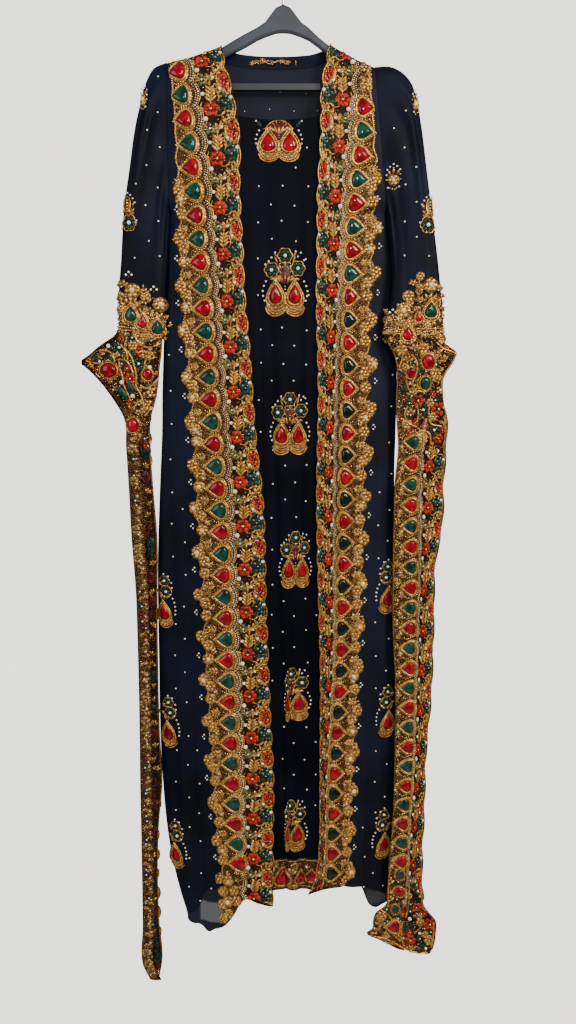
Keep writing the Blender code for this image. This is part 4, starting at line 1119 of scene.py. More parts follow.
def wheatEar():
    # gold ear: four pairs of grains up a stalk of 26 mm, each pair smaller, and one at the tip
    parts = [goldCord(stem(((0, 0), (0.8, 13), (0, 26)), 6), 0.6)]
    for number in range(4):
        parts += blades("gold", "grain", bothWays([(0, 26 * (0.12 + 0.195 * number), -38)]),
                        4.4, 11.5 - 0.8 * number, 3.0)
    return parts + blades("gold", "grain", ((0, 24, 0),), 3.6, 8.5, 2.4)


def leafy(path, pairs, size):
    # pairs of small leaves along a curved stem, slanting forwards
    spots = stem(path, pairs + 1)
    along = -np.degrees(np.arctan2(*np.diff(spots, axis=0).T))
    slanted = [(x, y, turn + 42 * way) for (x, y), turn in zip(spots[1:], along) for way in (-1, 1)]
    return blades("gold", "grain", slanted, size * 0.42, size, 2.4)


def vineRepeat():
    # one repeat of the vine, sewn every 75.6 mm: x from the pearl line (0) to the free edge (50)
    inner = [(finish, placed(shape, 0, 0, 0, 0.95, 1.5, 1.1))
             for finish, shape in flower("coral", 6, 9.0, "coral", 0.74)]
    inner.append(goldCord(oval(0, 0, 20, 31, 18), 1.2, 0.3, closed=True))
    bud = (ring("sage", "petal", 5, 0.8, 7.0, 9.5, 2.2, 20) + ring("silver", "seed", 5, 4.6, 2.0)
           + beads("pearl", "bead", ((0, 0),), 3.4))
    parts = (moved(flower("coral", 6, 12.0, width=0.78), 17.5) + moved(inner, 41.5, -38) + moved(bud, 12, -30)
             + moved(wheatEar(), 18, 8, -6, 1.12))
    parts += beads("pearl", "seed", ((43, -34), (41, -40), (45, -42), (43, -46)), 2.2, 5.0)
    parts += beads("pearl", "seed", ((38, 5), (42, 9), (34, 10), (40, 16)), 2.4, 5.5)
    for x, y, turn, wide, long in ((38, 2, -70, 9, 13), (38, 3, -15, 9, 15), (37, 3, 40, 9, 14),
                                   (38, 0, 130, 8, 12), (39, 0, -125, 8, 11), (40, 14, -50, 7.5, 10),
                                   (37, 15, 20, 7.5, 11)):
        parts += blades("leaf", "leaf", ((x, y, turn),), wide, long, 2.6)
    for x, y, width in ((8.5, -15.5, 8.2), (9.5, 24.5, 6.4), (33.5, 28.5, 5.4), (27.5, -31.0, 4.8),
                        (45.5, 13.0, 6.0)):
        parts += beads("pearl", "bead", ((x, y),), width)
    # scrolling stems: path, the cord's radius, pairs of leaves and a leaf's length
    for path, radius, pairs, size in (
            (((13, -36), (22, -30), (33, -24), (40, -17), (46, -9)), 1.5, 0, 0),
            (((46, -9), (45, -3), (41, 0)), 1.2, 0, 0), (((28, 10), (31, 19), (29, 28)), 0.9, 3, 6.5),
            (((36, 22), (42, 22), (46, 17)), 1.1, 0, 0), (((7, 12), (4, 4), (7, -6)), 0.9, 0, 0),
            (((22, -11), (29, -13), (34, -8), (42, -10)), 1.1, 3, 7.0),
            (((35, -30), (34, -44), (41, -52)), 1.0, 3, 7.0), (((13, -36), (8, -30), (7, -24)), 0.9, 2, 6.5)):
        parts.append(goldCord(stem(path, 9), radius))
        parts += leafy(path, pairs, size) if pairs else []
    parts += leafy(((13, -36), (22, -30), (33, -24), (40, -17), (42, -13)), 5, 8.5)
    parts += blades("gold", "grain", (
        (7, 3, 70), (8, 0, 95), (8, -3, 120), (24, -29, 30), (28, -27, -60), (33, -24, 25), (36, -21, -65),
        (40, -17, 20), (18, -33, 40), (22, -31, -70), (26, 24, 10), (31, -36, -150), (36, -54, -20),
        (24, -42, 170)), 3.2, 8.0, 2.0)
    return parts + beads("gilt", "seed", (
        (5, 31), (4, 18), (27, 4), (28, -4), (14, -24), (22, 38), (37, -14), (31, -33), (46, 6), (24, -18),
        (5, -26), (39, 34), (46.5, 26), (29, 36), (15, 30), (4, -35), (27, -40), (34, -9), (12, 34),
        (20, -24)), 2.6)


def twig():
    # guipure sprig growing outwards along +x from a stone's tip
    parts = [goldCord(stem(((0, 0), (9, 0.6), (18, 0)), 6), 0.8)]
    for x, size in ((2, 8.5), (7, 9.0), (12, 8.0)):
        parts += blades("gold", "grain", ((x, 0, -142), (x, 0, -38)), 3.8, size, 2.6)
    return parts + blades("gold", "grain", ((16, 0, -90),), 3.6, 7.5, 2.4)


def loops():
    # three small gold rings and a seed bead between the larger ornaments
    rings = [goldCord(oval(x, y, 4.6, 4.6, 8), 0.7, closed=True) for x, y in ((0, 3.4), (0, -3.4), (5.6, 0))]
    return rings + beads("gilt", "seed", ((-3.6, 0),), 2.2)


def pearlTrio():
    pearls = beads("pearl", "bead", ((0, 3.6), (0, -3.6), (3.4, 0)), 3.4)
    return pearls + beads("gilt", "seed", ((-2.6, 0),), 2.0)


def collet(finish, x, y, turn, wide, tall, gap=1.22, rows=2):
    # a teardrop stone, tip up before it is turned, on a gold backing with corded rings and beads round it;
    # the first ring is gap times the stone's size and each further one 0.38 more
    angle = math.radians(turn)
    spin = np.array(((math.cos(angle), math.sin(angle)), (-math.sin(angle), math.cos(angle))))
    step = 0.38

    def around(count, size):
        return dropOutline(count) * (wide * size, tall * (size - 0.08)) @ spin + (x, y)

    full = gap + step * (rows - 1)
    parts = [(finish, placed("drop", x, y, turn, wide, tall, 5.0)),
             ("couched", placed("drop", x, y, turn, wide * (full + 0.06), tall * (full - 0.04), 1.2))]
    for number in range(rows):
        parts.append(goldCord(around(22, gap + step * number), 1.7 - 0.3 * number, 0.5, closed=True))
    return parts + beads("gilt", "seed", around(20, gap + step / 2), 2.9, 4.4)


def blossom():
    # green flower with a pearl heart inside a scalloped gold outline
    turn = np.linspace(0, 2 * math.pi, 24, endpoint=False)
    reach = 10.6 + 2.2 * np.abs(np.cos(3 * turn))
    edge = np.stack([reach * np.cos(turn), reach * np.sin(turn)], axis=1)
    return [*ring("leaf", "petal", 6, 1.6, 7.6, 9.0, 2.0), *beads("pearl", "pearl", ((0, 0),), 6.2),
            goldCord(edge, 1.2, 0.4, closed=True), *ring("gilt", "seed", 12, 8.6, 1.8, start=15)]


def twinDrops(apart, wide, tall, gap):
    # a palmette's lower part: two ruby drops on a two-lobed gold foot, with pearls at both sides
    parts = collet("ruby", -apart, -16, 0, wide, tall, gap) + collet("ruby", apart, -16, 0, wide, tall, gap)
    parts += beads("pearl", "bead", bothWays(((33, 4), (36.5, -3.5), (38.5, -11.5), (38, -19.5),
                                              (35.5, -27))), 3.8)
    for x, y, turn, size in ((4, 1, -16, 14), (8, 3, -42, 13), (13, 6, -70, 11), (17, 9, -100, 9)):
        parts += blades("gold", "leaf", bothWays([(x, y, turn)]), 5.0, size, 2.6)
    for way in (-1, 1):
        parts.append(("couched", plateShape(oval(way * 17, -40, 35, 23), 0.9)))
        foot = stem(((0.5, -43), (5, -48), (13, -51.5), (22, -51.5), (30, -47), (34, -38)), 14) * (way, 1)
        for drop, radius in ((0, 1.6), (4.4, 1.2), (8.4, 1.1)):
            parts.append(goldCord((foot * (1 - drop / 60, 1) + (0, drop))[::-way], radius, 0.4))
        for drop in (2.2, 6.4):
            row = stem(((3, -45), (9, -49), (20, -50.5), (31, -43)), 11)
            row = row * (way * (1 - drop / 60), 1) + (0, drop)
            parts += beads("gilt", "seed", row, 2.8, 4.6)
    return parts + beads("gilt", "bead", [(0, y) for y in (-4, -9, -14.5, -20, -26, -32)], 3.4)


def neckPalmette():
    # larger drops under a dull red dome with a gold rim and small leaves
    dome = stem(((-23, 0), (-20, 11), (-12, 19), (0, 22), (12, 19), (20, 11), (23, 0)), 22)[::-1]
    parts = twinDrops(18.0, 26.0, 35.0, 1.14) + [("dullRed", plateShape(oval(0, 6, 42, 32, 20), 0.9))]
    parts += [goldCord(dome, 1.3, 0.8)] + beads("gilt", "seed", dome[::2] * 0.82 + (0, 1), 3.0, 4.6)
    parts += blades("gold", "leaf", ((0, -2, 0), (0, -2, 44), (0, -2, -44)), 4.6, 15.0, 3.0)
    parts += blades("coral", "petal", bothWays(((7, 11, -20), (13, 4, -55), (4, -8, -120))), 3.6, 5, 2.6)
    parts += blades("leaf", "leaf", bothWays([(29, 11, -34)]), 6.0, 14, 2.4)
    return parts + beads("pearl", "bead", bothWays([(38, 21)]), 3.6)


def palmette():
    # two ruby drops under a crown of three green flowers, 80 wide and 111 tall
    parts = twinDrops(16.5, 22.5, 31.0, 1.22) + [("dullRed", plateShape(oval(0, 17, 20, 34), 0.7))]
    parts += beads("pearl", "bead", ((-28, 36), (-23, 42), (-17, 50), (22, 44), (27, 50), (18, 52), (-34, 31),
                                     (33, 38)), 3.8)
    parts += blades("antique", "grain", ((-5, 22, 34), (5, 22, -34), (-4, 14, 44), (4, 14, -44), (0, 25, 0),
                                         (0, 4, 0), (-13, 33, 24), (13, 35, -24), (-5, 6, 50), (5, 6, -50),
                                         (-11, 40, 40), (12, 42, -40)), 4.0, 12.0, 2.6)
    parts += beads("gilt", "bead", ((-11, 12), (11, 12), (-9, 32), (9, 33), (0, 17), (-4, 27), (4, 27),
                                    (0, 9), (0, 33)), 3.0)
    return parts + moved(blossom(), 0, 45) + moved(blossom(), -23, 22) + moved(blossom(), 22, 25)


def folded(ornament):
    # an ornament on a fold: its left part turned away, x' = 0.25 x where x < 0, and kept in the middle
    return [(finish, (points * np.where(points[:, :1] < 0, (0.25, 1, 1), (1, 1, 1)) + (-12, 0, 0), faces))
            for finish, (points, faces) in ornament]


def dulled(ornament):
    # the same ornament in the dull gold of the narrow tail's face
    worn = {"gold": "antique", "gilt": "couched", "coral": "dullRed", "leaf": "dullGreen"}
    return [(worn.get(finish, finish), shape) for finish, shape in ornament]


def sideMotif():
    # one drop of a palmette seen from its side under two green flowers: 36 wide and 99 tall
    parts = collet("ruby", 0, -19, 6, 18.0, 28.0) + [("couched", plateShape(oval(3, -40, 26, 14), 0.9))]
    parts += beads("pearl", "bead", ((16, 5), (19, -2), (20.5, -9), (21, -16), (20.5, -23), (12, 12),
                                     (15, 24), (14, 33), (8, 44), (0, 48)), 3.4)
    foot = stem(((-9, -37), (-5, -45), (3, -48), (12, -44), (17, -36)), 10)
    parts += [goldCord(foot * (1 - drop / 40, 1) + (0, drop), 1.2) for drop in (0, 4.0, 8.0)]
    parts += blades("antique", "leaf", ((0, 2, 0), (-4, 3, 24), (5, 4, -24), (-7, 12, 34), (-7, 26, 20)),
                    4.0, 10.0, 2.0)
    parts += beads("gilt", "bead", ((-4, -41), (1, -42), (6, -41), (11, -39), (-3, 34), (9, 8)), 2.8)
    return parts + moved(blossom(), 4, 17, size=0.85) + moved(blossom(), 1, 36, size=0.75)


def sleeveSprig():
    # a gold flower with a large bright bead, leaves over it and small pearls about it: 27 wide and 45 tall
    parts = moved(rosette("goldPearl", 10.0, 0.82), 0, -5)
    parts += beads("pearl", "bead", ((0, 21), (-6, 17), (6, 17), (-11, 11), (11, 12), (12, 3), (9, -18),
                                     (-10, -17)), 3.4)
    parts += blades("gold", "leaf", ((0, 6, 0), (-5, 4, 34), (5, 4, -34)), 4.4, 10.0, 2.4)
    places = ((0, 15), (-11, 3), *bothWays(((8, 8), (6, -19), (2, -21), (12, -5))))
    return parts + beads("gilt", "bead", places, 3.2)


def sleeveSpray():
    # a green flower under an oval gold leaf with pearls round the top: 34 wide and 67 tall
    rim = oval(-2, 16, 15, 26)
    parts = [("couched", plateShape(rim, 0.9)), goldCord(rim, 1.5, 0.3, closed=True),
             ("couched", plateShape(oval(2, 2, 20, 16), 0.7))]
    parts += beads("gilt", "bead", ((-2, 8), (-2, 13), (-2, 18), (-2, 23)), 3.6)
    parts += blades("antique", "leaf", ((7, 0, -30), (-6, 0, 30), (9, 10, -14), (2, -1, 0)), 4.6, 11.0, 2.4)
    parts += blades("dullRed", "petal", ((8, 2, -60), (-7, 2, 60), (8, 20, 0)), 4.4, 6.0, 2.4)
    parts += beads("pearl", "bead", ((-8, 33), (-1, 35), (5, 31), (10, 25), (14, 18), (17, -12),
                                     (-14, -24)), 3.6)
    return parts + moved(blossom(), 2, -16, size=1.15)


def cuffPalmette(finish):
    # a drop in its collet with gold scales about it
    return collet(finish, 0, 0, 0, 20.0, 25.0) + blades("gold", "leaf", (
        (0, 18, 0), *bothWays(((12, 13, -40), (16, 2, -70), (6, 17, -20)))), 5.0, 11, 2.6)


def scales():
    # small fan of dull gold petals that fills the ground between larger ornaments
    return (blades("antique", "petal", bothWays(((0, 0, 20), (0, 0, 60))), 4.2, 8.0, 2.4)
            + beads("gilt", "bead", ((0, 0),), 2.8))


def spark():
    # small pearl flower between gems
    return ring("gold", "petal", 5, 0.8, 3.6, 4.6, 1.5) + beads("pearl", "bead", ((0, 0),), 3.4)


ornaments = {
    "rubyGem": gem("ruby"), "emeraldGem": gem("emerald"), "paintedShadeEmeraldGem": gem("darkEmerald"),
    "vine": vineRepeat(),
    "pearlRosette": rosette("goldPearl", 10.5, 0.82), "goldRosette": rosette("gilt", 10.0, 0.42),
    "twig": twig(),
    "loops": loops(), "pearlTrio": pearlTrio(), "dot": beads("pearl", "bead", ((0, 0),), 3.3, 2.4),
    "onePearl": beads("pearl", "pearl", ((0, 0),), 7.6), "palmette": palmette(),
    "neckPalmette": neckPalmette(),
    "foldedPalmette": folded(palmette()), "sideMotif": sideMotif(), "sleeveSprig": sleeveSprig(),
    "sleeveSpray": sleeveSpray(), "rubyCuff": cuffPalmette("ruby"), "emeraldCuff": cuffPalmette("emerald"),
    "scales": scales(), "spark": spark(), "wheat": wheatEar(), "leafPair": leafPair(),
    "coralFlower": flower("coral", 6, 9.0), "leafFlower": flower("leaf", 5, 9.0, "pearl"),
    "ruby": collet("ruby", 0, 0, 0, 15.0, 17.0, rows=1),
    "emerald": collet("emerald", 0, 0, 0, 15.0, 17.0, rows=1),
    "rubyOval": cabochon("ruby", 20.0, 24.0), "emeraldOval": cabochon("emerald", 15.0, 20.0),
    "redReverse": reverseSpot("dullRed"), "greenReverse": reverseSpot("dullGreen"),
}
print("ornaments made:", len(ornaments))


# beaded strips

def goldWidth(strip, level):
    # how far the gold ground reaches outwards from the gems: most of a wide strip, gently scalloped
    full = fullWidth(strip, level)
    turn = 2 * math.pi * level
    scallop = 2.2 * np.cos(turn / bandLook["pitch"]) + 1.3 * np.sin(turn / 61.0 + 1)
    return np.minimum(full - 0.6, 8 + 0.5 * full + scallop * ease(full, 14, 30))


def fullWidth(strip, level):
    return np.abs(strip["rail"]("outer", level) - strip["rail"]("gem", level))


def freeEdge(strip, level):
    # the free edge of the strip on the vine's scale: 45.4 + 5 |cos(pi (level - flower) / pitch)|^0.7
    return 45.4 + 5 * np.abs(np.cos(math.pi * (level - strip.get("flower", 0.0)) / bandLook["pitch"])) ** 0.7


def groundGrid(strip, columns, rows, hemTable):
    # the strip's ground from its free edge to the gold's outer edge, with a map in centimetres
    share = np.linspace(0, 1, columns)[None, :]

    def acrossAt(level):
        pearlAt = strip["rail"]("pearl", level)
        edge = strip["rail"]("gem", level) + strip["way"] * goldWidth(strip, level)
        inner = pearlAt + (strip["rail"]("inner", level) - pearlAt) * (freeEdge(strip, level) + 0.8) / 50
        return inner + (edge - inner) * share

    down = columnLevels(acrossAt, rows, hemTable)
    across = acrossAt(down)
    outwards = strip["way"] * (across - strip["rail"]("pearl", down))
    return at(across, strip["deep"](across, down), down), np.stack([outwards, -down], axis=-1) / 10


rng = np.random.default_rng(5)


def scattered(places, amount):
    return rng.uniform(-amount, amount, len(places))


def gemRow(piece, strip, gems, first, size=1.0, squeeze=1.0, green="emeraldGem"):
    # stones with their tips outwards, ruby and green in turn, and a cluster of beads between each two
    outer = outerSurface(strip)
    for number, name in enumerate(("rubyGem", green)):
        some = gems[(number + first) % 2::2]
        sew(piece, outer, ornaments[name], 0.0, some, size=size, squeeze=squeeze)
    pitch = gems[1] - gems[0]
    between = np.append(gems - pitch / 2, gems[-1] + pitch / 2)
    sew(piece, outer, beads("gilt", "bead", ((0, 0), (-3.6, 1.4), (3.4, -1.2), (7, 0.8)), 2.8), 0.0, between)


def pearlChain(piece, strip, gems, top, bottom, waves=6.5):
    # two lines of bright beads beside a cord, bulging at each gem:
    # a = waves (|cos(pi (b - gem) / pitch)|^0.8 - 0.4)
    vine = vineSurface(strip)
    pitch = gems[1] - gems[0]

    def wave(level):
        return waves * (np.abs(np.cos(math.pi * (level - gems[0]) / pitch)) ** 0.8 - 0.4)

    levels = np.arange(top, bottom, 3.4)
    sew(piece, vine, beads("silver", "bead", ((0, 0),), 2.9), wave(levels), levels)
    levels = levels + 1.7
    sew(piece, vine, beads("silver", "seed", ((0, 0),), 2.6, 4.0), wave(levels) - 3.4, levels)
    fine = np.arange(top, bottom, 2.9)
    sewCord(piece, vine, wave(fine) + 2.8, fine, 1.0)


def vineAlong(piece, strip, flowers):
    # the vine with a coral flower at each level given, and the double cord of the free edge
    vine = vineSurface(strip)
    sew(piece, vine, ornaments["vine"], 0.0, flowers)
    fine = np.arange(flowers[0] - 90, flowers[-1] + 90, 2.9)
    for offset, radius in ((-0.4, 1.3), (-3.6, 1.0)):
        sewCord(piece, vine, freeEdge(strip, fine) + offset, fine, radius)


def guipure(piece, strip, emeralds, pitch, top, bottom):
    # outer lace over scattered gold beads: rosettes, twigs, rings and pearls by each emerald with room
    outer = outerSurface(strip)
    fine = np.arange(top, bottom, 2.9)
    sewCord(piece, outer, goldWidth(strip, fine) - 0.6, fine, 0.95)
    edge = np.arange(top, bottom, 3.2)
    sew(piece, outer, beads("gilt", "seed", ((0, 0),), 2.6), goldWidth(strip, edge) + 0.9, edge)
    room = emeralds[fullWidth(strip, emeralds) > 26]
    # how far below each emerald, chance of a bright heart, share of the width, how far in and up, size
    for offset, chance, share, inset, size in (
            (0, 0.35, 1.0, 6, 1.05), (11, 0.36, 0.62, 0, 1), (34, 0.36, 0.62, 0, 1)):
        pick = rng.random(len(room)) < chance
        for name, some in (("pearlRosette", room[pick] + offset), ("goldRosette", room[~pick] + offset)):
            sew(piece, outer, ornaments[name], share * fullWidth(strip, some) - inset + scattered(some, 1.5),
                some - inset / 1.5 + scattered(some, 2), turn=scattered(some, 25), size=size)
    sew(piece, outer, ornaments["twig"], 12, room - pitch / 2, turn=scattered(room, 8))
    sew(piece, outer, ornaments["spark"], 21, room + pitch / 2, turn=scattered(room, 30))
    full = fullWidth(strip, room)
    sew(piece, outer, ornaments["loops"], 0.45 * full, room - 6 + scattered(room, 2))
    sew(piece, outer, ornaments["loops"], 0.72 * full, room - 12 + scattered(room, 2))
    sew(piece, outer, ornaments["pearlTrio"], full - 2, room + 27 + scattered(room, 3))
    for a, offset in ((17, 20), (17, 58), (30, 62), (36, 4)):
        some = room + offset
        some = some[fullWidth(strip, some) > a + 6]
        sew(piece, outer, ornaments["scales"], a, some + scattered(some, 2), turn=-90 + scattered(some, 40))
    count = int((bottom - top) * 0.5)
    b = rng.uniform(top, bottom, count)
    a = rng.uniform(13, 46, count)
    keep = a < goldWidth(strip, b) - 1
    sew(piece, outer, beads("gilt", "seed", ((0, 0),), 2.3), a[keep], b[keep])


# ornaments that fill the strips' feet and the right one's top: distance outwards from the gems, level
footFill = {
    "left": (("goldRosette", 38, 1562), ("pearlRosette", 20, 1566), ("goldRosette", 30, 1586),
             ("goldRosette", 10, 1584), ("pearlRosette", 22, 1606), ("goldRosette", 34, 1612),
             ("goldRosette", 22, 1630), ("goldRosette", 6, 1604), ("scales", 2, 1566), ("scales", -4, 1580),
             ("wheat", 0, 1556), ("goldRosette", 32, 1640)),
    "right": (("goldRosette", 36, 1596), ("scales", 4, 1594), ("goldRosette", 20, 1590),
              ("goldRosette", 0, 162), ("scales", 4, 176), ("goldRosette", 0, 190), ("scales", -6, 184),
              ("wheat", 6, 204), ("scales", -5, 202)),
}
bandEnds = {"left": (128.0, 1640.0), "right": (124.0, 1600.0)}
for side in sides:
    strip = bandStrip(side)
    strip["flower"] = bandLook["firstGem"][side] - 9.5
    name = "frontBand" + ending[side]
    grid, uvs = groundGrid(strip, 22, 180, frontHem)
    makeCloth(name + "Ground", grid, ground, "front_band_" + side, flip=side == "right", uvs=uvs)
    name += "Beads"
    top, bottom = bandEnds[side]
    pitch = bandLook["pitch"]
    gems = np.arange(bandLook["firstGem"][side], bandLook["lastGem"][side] + 1, pitch)
    # lower down, the right strip turns a little away: its stones look narrower, and its green ones are darker
    # glass, painted shade
    turned = 8 if side == "right" else len(gems)
    gemRow(name, strip, gems[:turned], 0)
    if turned < len(gems):
        gemRow(name, strip, gems[turned:], 0, squeeze=0.8, green="paintedShadeEmeraldGem")
    pearlChain(name, strip, gems, top, bottom)
    flowers = np.arange(gems[0] - 9.5 - 2 * pitch * (side == "right"), bottom + pitch, 2 * pitch)
    vineAlong(name, strip, flowers)
    guipure(name, strip, gems[1::2], pitch, top, bottom)
    for ornament, across, down in footFill[side]:
        sew(name, outerSurface(strip), ornaments[ornament], across, down)
    finishSewing(name)


# scattered motifs and beads

def dotPlaces(left, right, top, bottom):
    # staggered lattice of places, 40 mm apart across and 29 mm down, each a little off
    down = np.arange(top, bottom, 29.0)
    across = np.arange(left, right, 40.0)
    a, b = np.meshgrid(across, down)
    a = a + 20.0 * (np.arange(len(down)) % 2)[:, None] + rng.uniform(-3, 3, a.shape)
    b = b + rng.uniform(-3, 3, b.shape)
    keep = (a > left + 4) & (a < right - 4)
    return a[keep], b[keep]


def clearOf(a, b, motifs, wide, tall):
    # which places are outside the ovals round the motifs, whose first two values are their places
    free = np.ones(len(a), bool)
    for motif in motifs:
        free &= np.hypot((a - motif[0]) / wide, (b - motif[1]) / tall) > 1
    return free


centreFace = frontSurface(centreDepth)
# place, width and height
palmettes = ((3, 507, 74, 112), (11, 742, 66, 106), (21, 977, 54, 100), (23, 1218, 46, 98),
             (21, 1462, 40, 100))
for across, down, wide, tall in palmettes:
    # the lower ones hang on a fold
    name, full = ("palmette", 76) if down < 1100 else ("foldedPalmette", 48)
    sew("innerFrontBeads", centreFace, ornaments[name], across, down, size=tall / 110,
        squeeze=wide / full * 110 / tall)
sew("innerFrontBeads", centreFace, ornaments["neckPalmette"], -7, 265, size=0.88, squeeze=1.12)
a, b = dotPlaces(-60, 62, 262, 1560)
left, right, held = centreRails(b)
free = (a > left + 12) & (a < right - 12) & clearOf(a, b, palmettes + ((-7, 262),), 40, 60)
sew("innerFrontBeads", centreFace, ornaments["dot"], a[free], b[free])
finishSewing("innerFrontBeads")

sideMotifs = {"left": ((-206, 1270), (-197, 1502), (-210, 1050)),
              "right": ((183, 1024), (186, 1250), (182, 1480))}
frontBox = {"left": (-212, -110, 190, 1625), "right": (104, 205, 190, 1600)}
for side in sides:
    face = frontSurface(lambda across, down: robeDepth(side, across, down))
    piece = "robeFront" + ending[side] + "Beads"
    a, b = dotPlaces(*frontBox[side])
    edge, outer = read(bodyShape, side, b), read(band[side], "outer", b)
    free = (sign[side] * a < sign[side] * edge - 6) & (sign[side] * (a - outer) > 12)
    free &= clearOf(a, b, sideMotifs[side], 25, 52)
    sew(piece, face, ornaments["dot"], a[free], b[free])
    motif = ornaments["sideMotif"] if side == "left" else mirrored(ornaments["sideMotif"])
    sew(piece, face, motif, *np.array(sideMotifs[side]).T)
    finishSewing(piece)

backMotifs = [(across, down) for down in (430, 742, 1054, 1366) for across in (-96, 88)]
sew("backBeads", backSurface, ornaments["palmette"], *np.array(backMotifs).T, size=0.8)
a, b = dotPlaces(-205, 200, 190, 1600)
free = (a > read(bodyShape, "left", b) + 8) & (a < read(bodyShape, "right", b) - 8)
free &= clearOf(a, b, backMotifs, 34, 48)
sew("backBeads", backSurface, ornaments["dot"], a[free], b[free])
finishSewing("backBeads")

sleeveMotifs = {"left": (("sleeveSprig", -229, 208, 0.6), ("sleeveSpray", -256, 394, 0.85)),
                "right": (("sleeveSprig", 217, 216, 0.5), ("sleeveSprig", 182, 335, 1),
                          ("sleeveSpray", 239, 400, 0.9))}
sleeveBox = {"left": (-285, -185, 175, 480), "right": (160, 262, 175, 500)}
for side in sides:
    piece = "sleeve" + ending[side] + "Beads"
    for face in ("front", "back"):
        arm = sleeveSurface(side, face)
        a, b = dotPlaces(*sleeveBox[side])
        outerAt, innerAt = (np.interp(b, [p[1] for p in rail], [p[0] for p in rail])
                            for rail in sleeve["rails"][side])
        free = (a > np.minimum(outerAt, innerAt) + 8) & (a < np.maximum(outerAt, innerAt) - 8)
        sew(piece, arm, ornaments["dot"], a[free], b[free])
        for name, across, down, squeeze in sleeveMotifs[side]:
            motif = ornaments[name] if side == "left" else mirrored(ornaments[name])
            sew(piece, arm, motif, across, down, size=0.95, squeeze=squeeze)
    finishSewing(piece)


def fillIn(piece, surface, box, count, names, apart, taken):
    # small ornaments at random places in a box (left, right, top, bottom), each some way from all others
    spots = [np.array(place[1:3], float) for place in taken]
    for trial in rng.uniform((box[0], box[2]), (box[1], box[3]), (count, 2)):
        if np.hypot(*(np.array(spots) - trial).T).min() > apart:
            spots.append(trial)
    spots = np.array(spots[len(taken):])
    kind = rng.integers(0, len(names), len(spots))
    for number, name in enumerate(names):
        some = spots[kind == number]
        sew(piece, surface, ornaments[name], *some.T, turn=rng.uniform(-60, 60, len(some)), size=0.72)


# cuffs: drops and rosettes all round over a gold ground, with a beaded lower edge.
# Each ornament has its place across, level, turn and size
cuffBeads = {
    "left": (("emeraldCuff", -255, 556, 0, 1.0), ("rubyCuff", -236, 569, -8, 0.85),
             ("emeraldCuff", -212, 578, 0, 0.95),
             ("pearlRosette", -252, 519, 0, 1.25), ("pearlRosette", -206, 541, 0, 1.15),
             ("scales", -230, 540, 10, 1.6),
             ("scales", -226, 556, 0, 1.5), ("scales", -270, 532, 20, 1.6), ("scales", -226, 590, 160, 1.5),
             ("scales", -264, 584, 150, 1.5), ("wheat", -231, 540, 5, 1.0), ("pearlTrio", -257, 493, 90, 1.3),
             ("pearlTrio", -216, 517, 90, 1.3), ("goldRosette", -274, 548, 0, 0.8),
             ("spark", -234, 556, 0, 1.3),
             ("scales", -270, 512, 0, 1.6), ("scales", -232, 524, 0, 1.3),
             ("goldRosette", -228, 528, 0, 0.7)),
    "right": (("rubyCuff", 207, 590, 0, 0.9), ("emeraldCuff", 244, 552, 0, 1.0),
              ("rubyCuff", 224, 564, 10, 0.6),
              ("pearlRosette", 199, 554, 0, 1.2), ("pearlRosette", 244, 512, 0, 1.2),
              ("goldRosette", 226, 498, 0, 0.75),
              ("goldRosette", 207, 530, 0, 1.0), ("scales", 228, 520, -10, 1.6), ("scales", 226, 540, 0, 1.5),
              ("scales", 190, 582, 40, 1.5), ("wheat", 224, 532, 0, 0.9), ("pearlTrio", 182, 556, 90, 1.2),
              ("spark", 190, 566, 0, 1.3), ("scales", 252, 585, 160, 1.5), ("scales", 234, 588, 170, 1.5),
              ("scales", 256, 520, 0, 1.5), ("scales", 214, 512, 0, 1.3)),
}
cuffBox = {"left": (-276, -198, 500, 596), "right": (170, 266, 500, 600)}
for side in sides:
    piece = "cuff" + ending[side] + "Beads"
    for face in ("front", "back"):
        arm = sleeveSurface(side, face, 0.9)
        for name, across, down, turn, size in cuffBeads[side]:
            sew(piece, arm, ornaments[name], across, down, turn=turn, size=size)
        # small ornaments up to the cuff's slanting upper edge
        arm["keep"] = lambda a, b: b > 503 + 0.42 * (278 - np.abs(a))
        fillIn(piece, arm, cuffBox[side], 700, ("scales", "goldRosette", "scales", "spark", "loops"), 9.5,
               cuffBeads[side])
    angle = np.append(np.linspace(0, 2 * math.pi, 90, endpoint=False), 0)
    for along, radius in ((0.992, 1.6), (0.968, 1.2)):
        points = sleevePoint(side, angle, np.full(91, along), 1.6)
        stitchPath(piece, points, points - sleevePoint(side, angle, np.full(91, along), 0.6), radius)
    beadAngles = np.linspace(0, 2 * math.pi, 62, endpoint=False)
    stitchBeads(piece, sleevePoint(side, beadAngles, np.full(62, 0.98), 2.0), 3.0)
    loose = sleevePoint(side, rng.uniform(0, 2 * math.pi, 330), rng.uniform(0.855, 0.985, 330), 1.7)
    stitchBeads(piece, loose, 2.4)
    finishSewing(piece)


# hanging tails: the right one shows the strip's face, the left one is folded and a gold leaf lies in front

def rightTailRail(name, b):
    # the strip's inner, free edge is the tail's outer one
    if name in ("gem", "pearl"):
        return read(rightTail["rails"], name, b)
    return read(tail["right"], "outer", b) - 1 if name == "inner" else read(tail["right"], "inner", b) + 1


def onTail(side):
    # inside a tail's outline
    def inside(across, down):
        outer, inner = read(tail[side], "outer", down), read(tail[side], "inner", down)
        low, high = np.minimum(outer, inner) + 1, np.maximum(outer, inner) - 1
        between = (down > tail["start"][side] + 2) & (down < tail["end"][side] - 3)
        return between & (across > low) & (across < high)
    return inside


